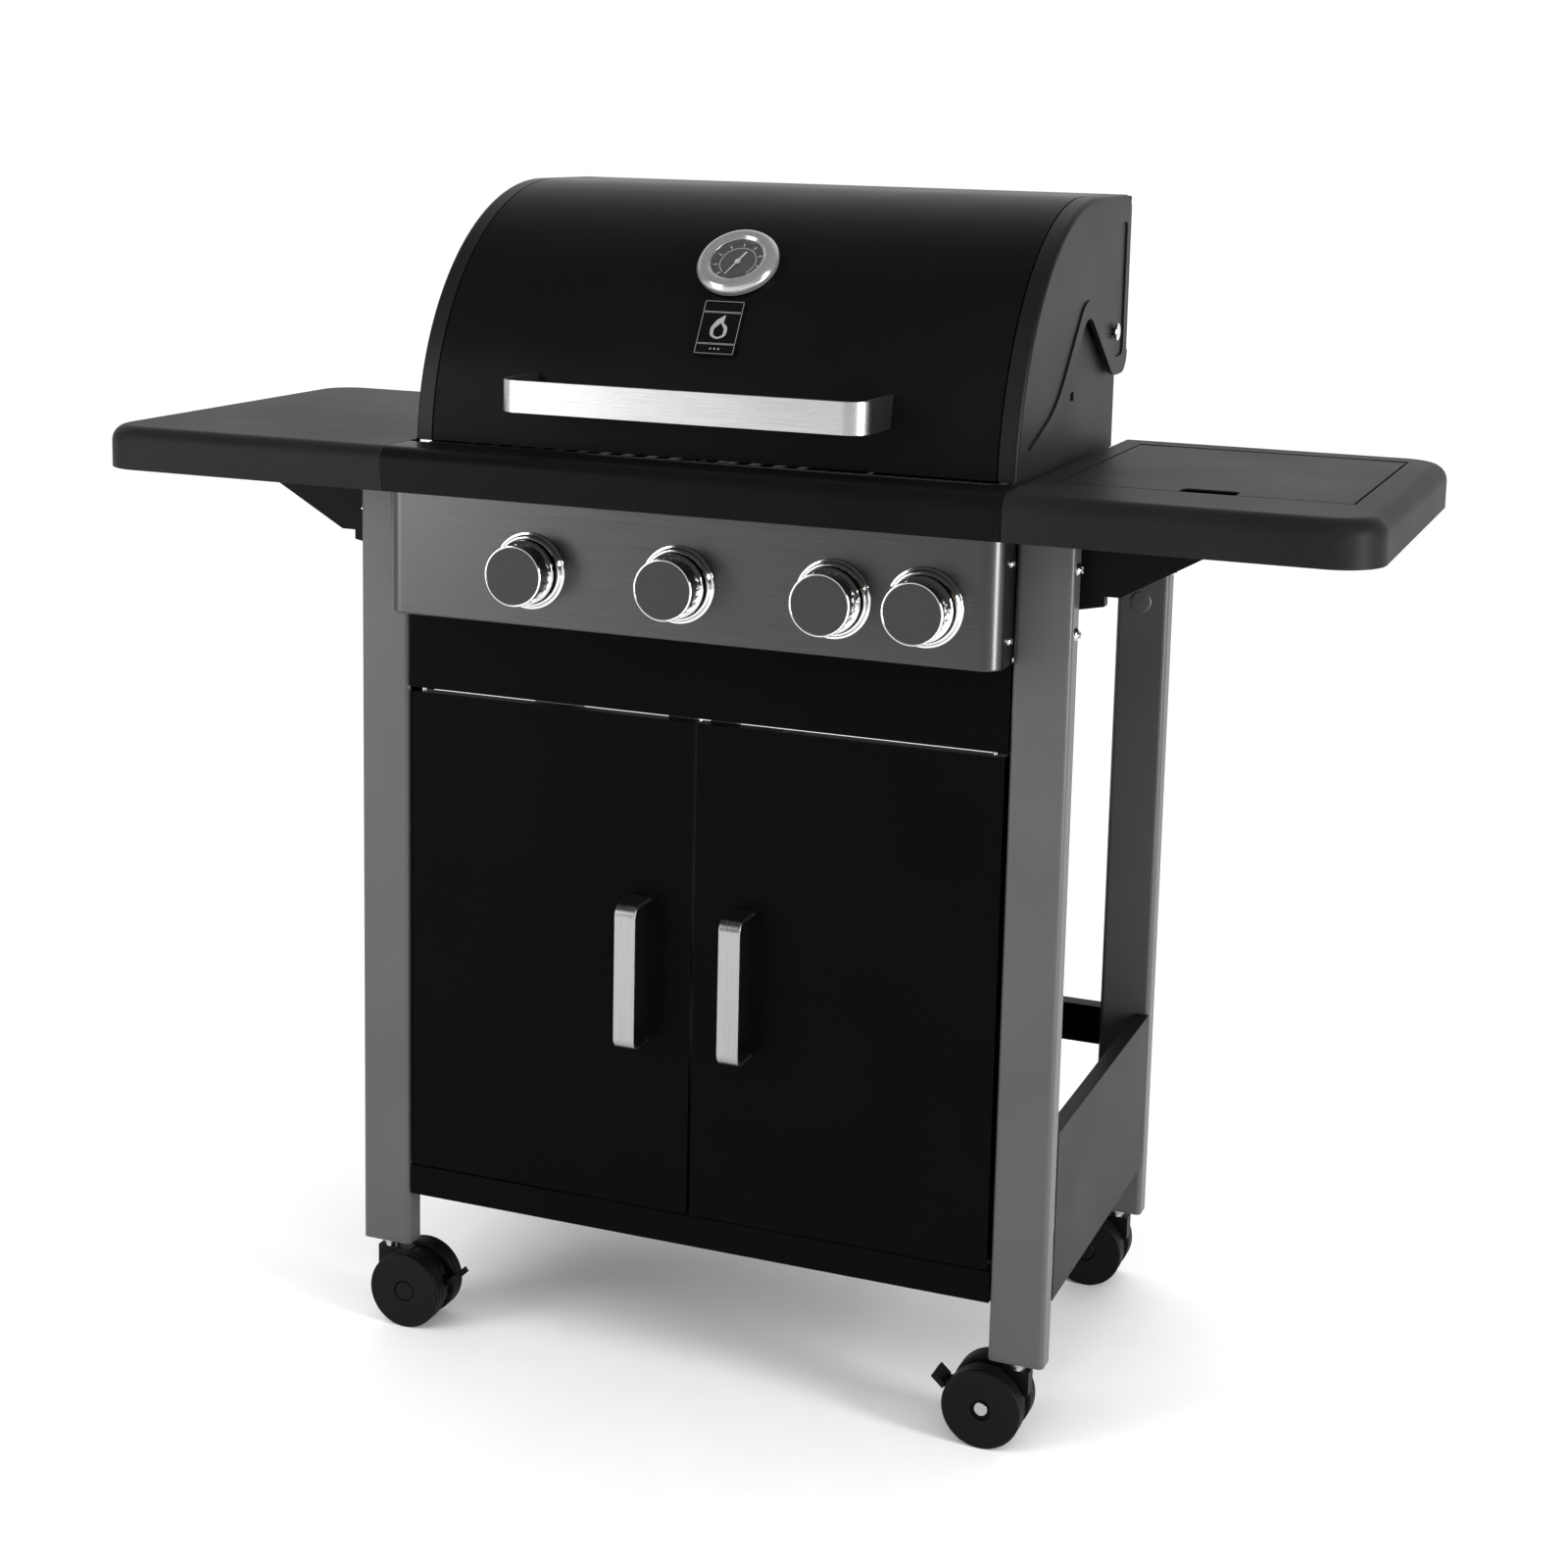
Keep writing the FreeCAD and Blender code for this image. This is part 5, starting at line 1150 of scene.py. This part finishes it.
class GRILL_OT_badge(bpy.types.Operator):
    """Builds the badge plate with plain lines and a flame emblem"""

    bl_idname = "grill.badge"
    bl_label = "Badge"

    def execute(self, context):
        angle = BADGE_ANGLE
        half_x, half_y, thick = 20.5 * MM, 28 * MM, 1.9 * MM
        plate = solid("badge_plate", [
            (-half_x, -half_y, 2 * MM), (half_x, -half_y, 2 * MM), (half_x, half_y, 2 * MM),
            (-half_x, half_y, 2 * MM)], "XY", 0.0, thick)
        eased(plate, 0.5 * MM, 3)
        fit(on_lid(plate, angle), "lid", "badge_black", "badge_black", "badge")
        top = thick + 0.2 * MM
        parts = [thin_frame("edge_line", half_x - 1.6 * MM, half_y - 1.6 * MM, 1.2 * MM,
                            0.35 * MM, thick, top)]
        for y in (-17.2, -16.2, 14.6, 15.6):
            parts.append(solid("rule", [
                (-half_x + 2.6 * MM, y * MM), (half_x - 2.6 * MM, y * MM),
                (half_x - 2.6 * MM, (y + 0.35) * MM), (-half_x + 2.6 * MM, (y + 0.35) * MM)],
                "XY", thick, top))
        outer = mm((0, -12, 5), (8, -8.5, 5), (8, 1, 5), (3.2, 4.5, 2), (4, 13, 0.6),
                   (-4, 7, 5), (-8.5, -1, 6), (-7.5, -9, 5))
        inner = mm((0, -10, 3), (5, -7.6, 3), (4.9, -1.4, 3), (0.8, 4.6, 0.5), (-4.9, -1.6, 3),
                   (-4.6, -8, 3))
        flame = solid("flame", outer, "XY", thick, top)
        heart = solid("heart", inner, "XY", thick - MM, top + MM)
        carved(flame, [heart])
        parts.append(flame)
        for x in (-4, 0, 4):
            dot = turned("dot", [(0, top), (0.8 * MM, top, 0.1 * MM), (0.9 * MM, thick),
                                 (0, thick)], steps=24)
            parts.append(placed(dot, (x * MM, -21.5 * MM, 0)))
        relief = on_lid(smooth(joined("badge_relief", parts)), angle)
        fit(relief, "lid", "badge_black", "badge_print")
        return {"FINISHED"}


# ---------------------------------------------------------------- casters
def wheel(name, radius, width):
    """A caster wheel about Z: grooved tread, rimmed outer face, recessed hub."""
    edge = width - 0.2 * MM
    return turned(name, [
        (3.1 * MM, 0.4 * MM), (radius - 4 * MM, 0.4 * MM), (radius - 3 * MM, 0.2 * MM),
        (radius, 1.2 * MM, 1.5 * MM), (radius, 5.0 * MM), (radius - 0.8 * MM, 5.5 * MM),
        (radius - 0.8 * MM, 6.3 * MM), (radius, 6.8 * MM), (radius, 11.2 * MM),
        (radius - 0.8 * MM, 11.7 * MM), (radius - 0.8 * MM, 12.5 * MM), (radius, 13 * MM),
        (radius, edge - 0.6 * MM, 1.6 * MM), (radius - 2.6 * MM, edge, 1.2 * MM),
        (radius - 4.5 * MM, edge - 0.5 * MM, 0.8 * MM), (10.4 * MM, edge - 0.5 * MM, 0.7 * MM),
        (10.0 * MM, edge - 4 * MM, 0.5 * MM), (3.1 * MM, edge - 4 * MM)], steps=96)


class GRILL_OT_casters(bpy.types.Operator):
    """Builds the twin-wheel casters with their axles, hub caps, stems and brake pedals"""

    bl_idname = "grill.casters"
    bl_label = "Casters"

    def execute(self, context):
        width = sizes().wheel_width
        for name in CASTERS:
            low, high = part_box(f"caster_wheels_{name}")
            hub, radius = (low + high) / 2, (high.z - low.z) / 2
            outer_x = math.copysign(27 * MM, hub.x)
            wheels, metal, caps = [], [], []
            for end, sign in ((low.y, -1), (high.y, 1)):
                about = math.radians(-90 * sign)
                at = (hub.x, end - sign * width, hub.z)
                wheels.append(placed(wheel(f"wheel_{name}_{sign}", radius, width), at, about))
                shaft = turned(f"axle_{name}_{sign}", [
                    (0, width - 1.9 * MM), (6.3 * MM, width - 1.9 * MM, 0.6 * MM),
                    (6.3 * MM, width - 4.3 * MM), (3 * MM, width - 4.3 * MM), (3 * MM, -8 * MM),
                    (0, -8 * MM)], steps=48)
                metal.append(placed(shaft, at, about))
                if name == "front_right" and sign < 0:
                    continue
                cap = turned(f"cap_{name}_{sign}", [
                    (0, width - 0.3 * MM), (9.0 * MM, width - 0.5 * MM, 0.6 * MM),
                    (9.7 * MM, width - 1.4 * MM), (9.7 * MM, width - 3 * MM)], steps=64)
                caps.append(placed(cap, at, about))
            pair = joined(f"twin_wheels_{name}", [smooth(item) for item in wheels])
            fit(pair, f"wheels_{name}", "wheel_black", "wheel_black",
                f"caster_wheels_{name}")
            fit(smooth(joined(f"axle_ends_{name}", metal)), f"wheels_{name}", "zinc", "zinc")
            fit(smooth(joined(f"hub_caps_{name}", caps)), f"wheels_{name}", "caster_black",
                "caster_black")
            softened(f"fork_{name}", f"caster_{name}", "caster_black", "caster_black",
                     f"caster_housing_{name}", width=0.9 * MM, segments=3)
            collar = turned(f"stem_collar_{name}", mm(
                (5.6, 79.4), (8.4, 79.4, 0.5), (8.4, 76.2, 0.6), (7.3, 75.4), (7.3, 72.2),
                (5.6, 72.2)), steps=48)
            placed(collar, (hub.x + outer_x, hub.y, 0))
            fit(smooth(collar), f"caster_{name}", "zinc", "zinc")
        for side in SIDES:
            softened(f"foot_pedal_{side}", f"brake_pedal_{side}", "caster_black",
                     "caster_black", f"brake_pedal_{side}", width=1.1 * MM, segments=3)
        return {"FINISHED"}


# ---------------------------------------------------------------- stage
def softbox(name, at, target, size, power):
    """A large soft light aimed at a point, which the camera doesn't see."""
    bpy.ops.object.select_all(action="DESELECT")
    bpy.ops.object.light_add(type="AREA", location=at)
    lamp = bpy.context.object
    lamp.name = name
    lamp.data.shape = "RECTANGLE"
    lamp.data.size, lamp.data.size_y = size
    lamp.data.energy = power
    lamp.visible_camera = False
    aim = Vector(target) - Vector(at)
    lamp.rotation_euler = aim.to_track_quat("-Z", "Y").to_euler()
    return lamp


def wide_light(name, source, strength, spread_angle):
    """Very soft light from one side of the room, kept out of the reflections."""
    bpy.ops.object.select_all(action="DESELECT")
    bpy.ops.object.light_add(type="SUN", location=source)
    lamp = bpy.context.object
    lamp.name = name
    lamp.data.energy = strength
    lamp.data.angle = math.radians(spread_angle)
    lamp.rotation_euler = Vector(source).to_track_quat("Z", "Y").to_euler()
    lamp.visible_glossy = False
    return lamp


def studio_air(stage):
    """World light: bright and low behind the grill, dim overhead and behind the camera."""
    world = bpy.data.worlds.new("Studio")
    bpy.context.scene.world = world
    world.use_nodes = True
    tree = world.node_tree
    toward = Vector((-math.sin(stage.azimuth), math.cos(stage.azimuth), 0.0))
    place = node(tree, "TexCoord").outputs["Generated"]
    along = node(tree, "VectorMath", {0: place, 1: toward}, operation="DOT_PRODUCT")
    level = node(tree, "MapRange", {"Value": along.outputs["Value"], "From Min": 0.2,
                                    "From Max": 0.85, "To Min": 0.0, "To Max": 1.0})
    tint = shades(tree, level.outputs["Result"], (0.05, 0.05, 0.05), (1.0, 1.0, 1.0), 0.0, 1.0)
    backdrop = tree.nodes["Background"]
    tree.links.new(tint, backdrop.inputs["Color"])
    backdrop.inputs["Strength"].default_value = 1.0


class GRILL_OT_stage(bpy.types.Operator):
    """Sets the floor, the soft studio lights and the camera"""

    bl_idname = "grill.stage"
    bl_label = "Stage"

    def execute(self, context):
        stage = context.scene.grill_stage
        bpy.ops.object.select_all(action="DESELECT")
        bpy.ops.mesh.primitive_plane_add(size=40)
        floor = bpy.context.object
        floor.name = "studio_floor"
        floor.data.materials.append(coated("Studio floor", stage.floor, 0.7, 30.0, 0.02, 0.01))
        target = (0.0, 0.0, 0.6)
        softbox("left_light", (-2.3, -2.6, 1.35), target, (1.4, 2.5), 62)
        softbox("right_light", (3.0, -0.8, 0.95), target, (0.7, 1.8), 95)
        wide_light("ceiling_light", (0, 0, 4), 2.8, 130)
        wide_light("front_fill", (-1.2, -3.6, 1.6), 0.9, 90)
        studio_air(stage)
        turn, tilt, roll = stage.azimuth, stage.elevation, stage.roll
        back = Vector((math.sin(turn) * math.cos(tilt), -math.cos(turn) * math.cos(tilt),
                       math.sin(tilt)))
        right = Vector((math.cos(turn), math.sin(turn), 0))
        up = back.cross(right)
        across = right * math.cos(roll) + up * math.sin(roll)
        upward = up * math.cos(roll) - right * math.sin(roll)
        bpy.ops.object.camera_add(location=stage.place)
        camera = context.object
        camera.name = "studio_camera"
        camera.rotation_euler = Matrix((across, upward, back)).transposed().to_euler()
        camera.data.lens = stage.lens
        camera.data.shift_x, camera.data.shift_y = stage.shift_x, stage.shift_y
        camera.data.clip_start, camera.data.clip_end = 0.05, 200
        context.scene.camera = camera
        context.scene.view_settings.view_transform = "Standard"
        return {"FINISHED"}


# ---------------------------------------------------------------- add-on
BUILDERS = (
    GRILL_OT_legs, GRILL_OT_cart_sheets, GRILL_OT_control_panel, GRILL_OT_shelves,
    GRILL_OT_screws, GRILL_OT_firebox, GRILL_OT_cooking_parts, GRILL_OT_gas_parts,
    GRILL_OT_side_burner, GRILL_OT_knobs, GRILL_OT_doors, GRILL_OT_handles,
    GRILL_OT_lid_sheet, GRILL_OT_lid_caps, GRILL_OT_thermometer, GRILL_OT_badge,
    GRILL_OT_casters, GRILL_OT_stage,
)


class GRILL_PT_builders(bpy.types.Panel):
    """Lists the builders and their settings"""

    bl_label = "Gas grill"
    bl_idname = "GRILL_PT_builders"
    bl_space_type = "VIEW_3D"
    bl_region_type = "UI"
    bl_category = "Grill"

    def draw(self, context):
        layout = self.layout
        for builder in BUILDERS:
            layout.operator(builder.bl_idname)
        for group in ("grill_sizes", "grill_colours", "grill_stage"):
            box = layout.box()
            settings = getattr(context.scene, group)
            for key in settings.bl_rna.properties.keys():
                if key not in {"rna_type", "name"}:
                    box.prop(settings, key)


GROUPS = {"grill_sizes": GrillSizes, "grill_colours": GrillColours, "grill_stage": GrillStage}


def register():
    for group in GROUPS.values():
        bpy.utils.register_class(group)
    for name, group in GROUPS.items():
        setattr(bpy.types.Scene, name, PointerProperty(type=group))
    for item in BUILDERS + (GRILL_PT_builders,):
        bpy.utils.register_class(item)


def unregister():
    for item in (GRILL_PT_builders,) + BUILDERS[::-1]:
        bpy.utils.unregister_class(item)
    for name, group in GROUPS.items():
        delattr(bpy.types.Scene, name)
        bpy.utils.unregister_class(group)


def main():
    """Build everything in order."""
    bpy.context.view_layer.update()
    register()
    make_finishes()
    for builder in BUILDERS:
        name = builder.bl_idname.split(".")[1]
        getattr(bpy.ops.grill, name)()


if __name__ == "__main__":
    main()
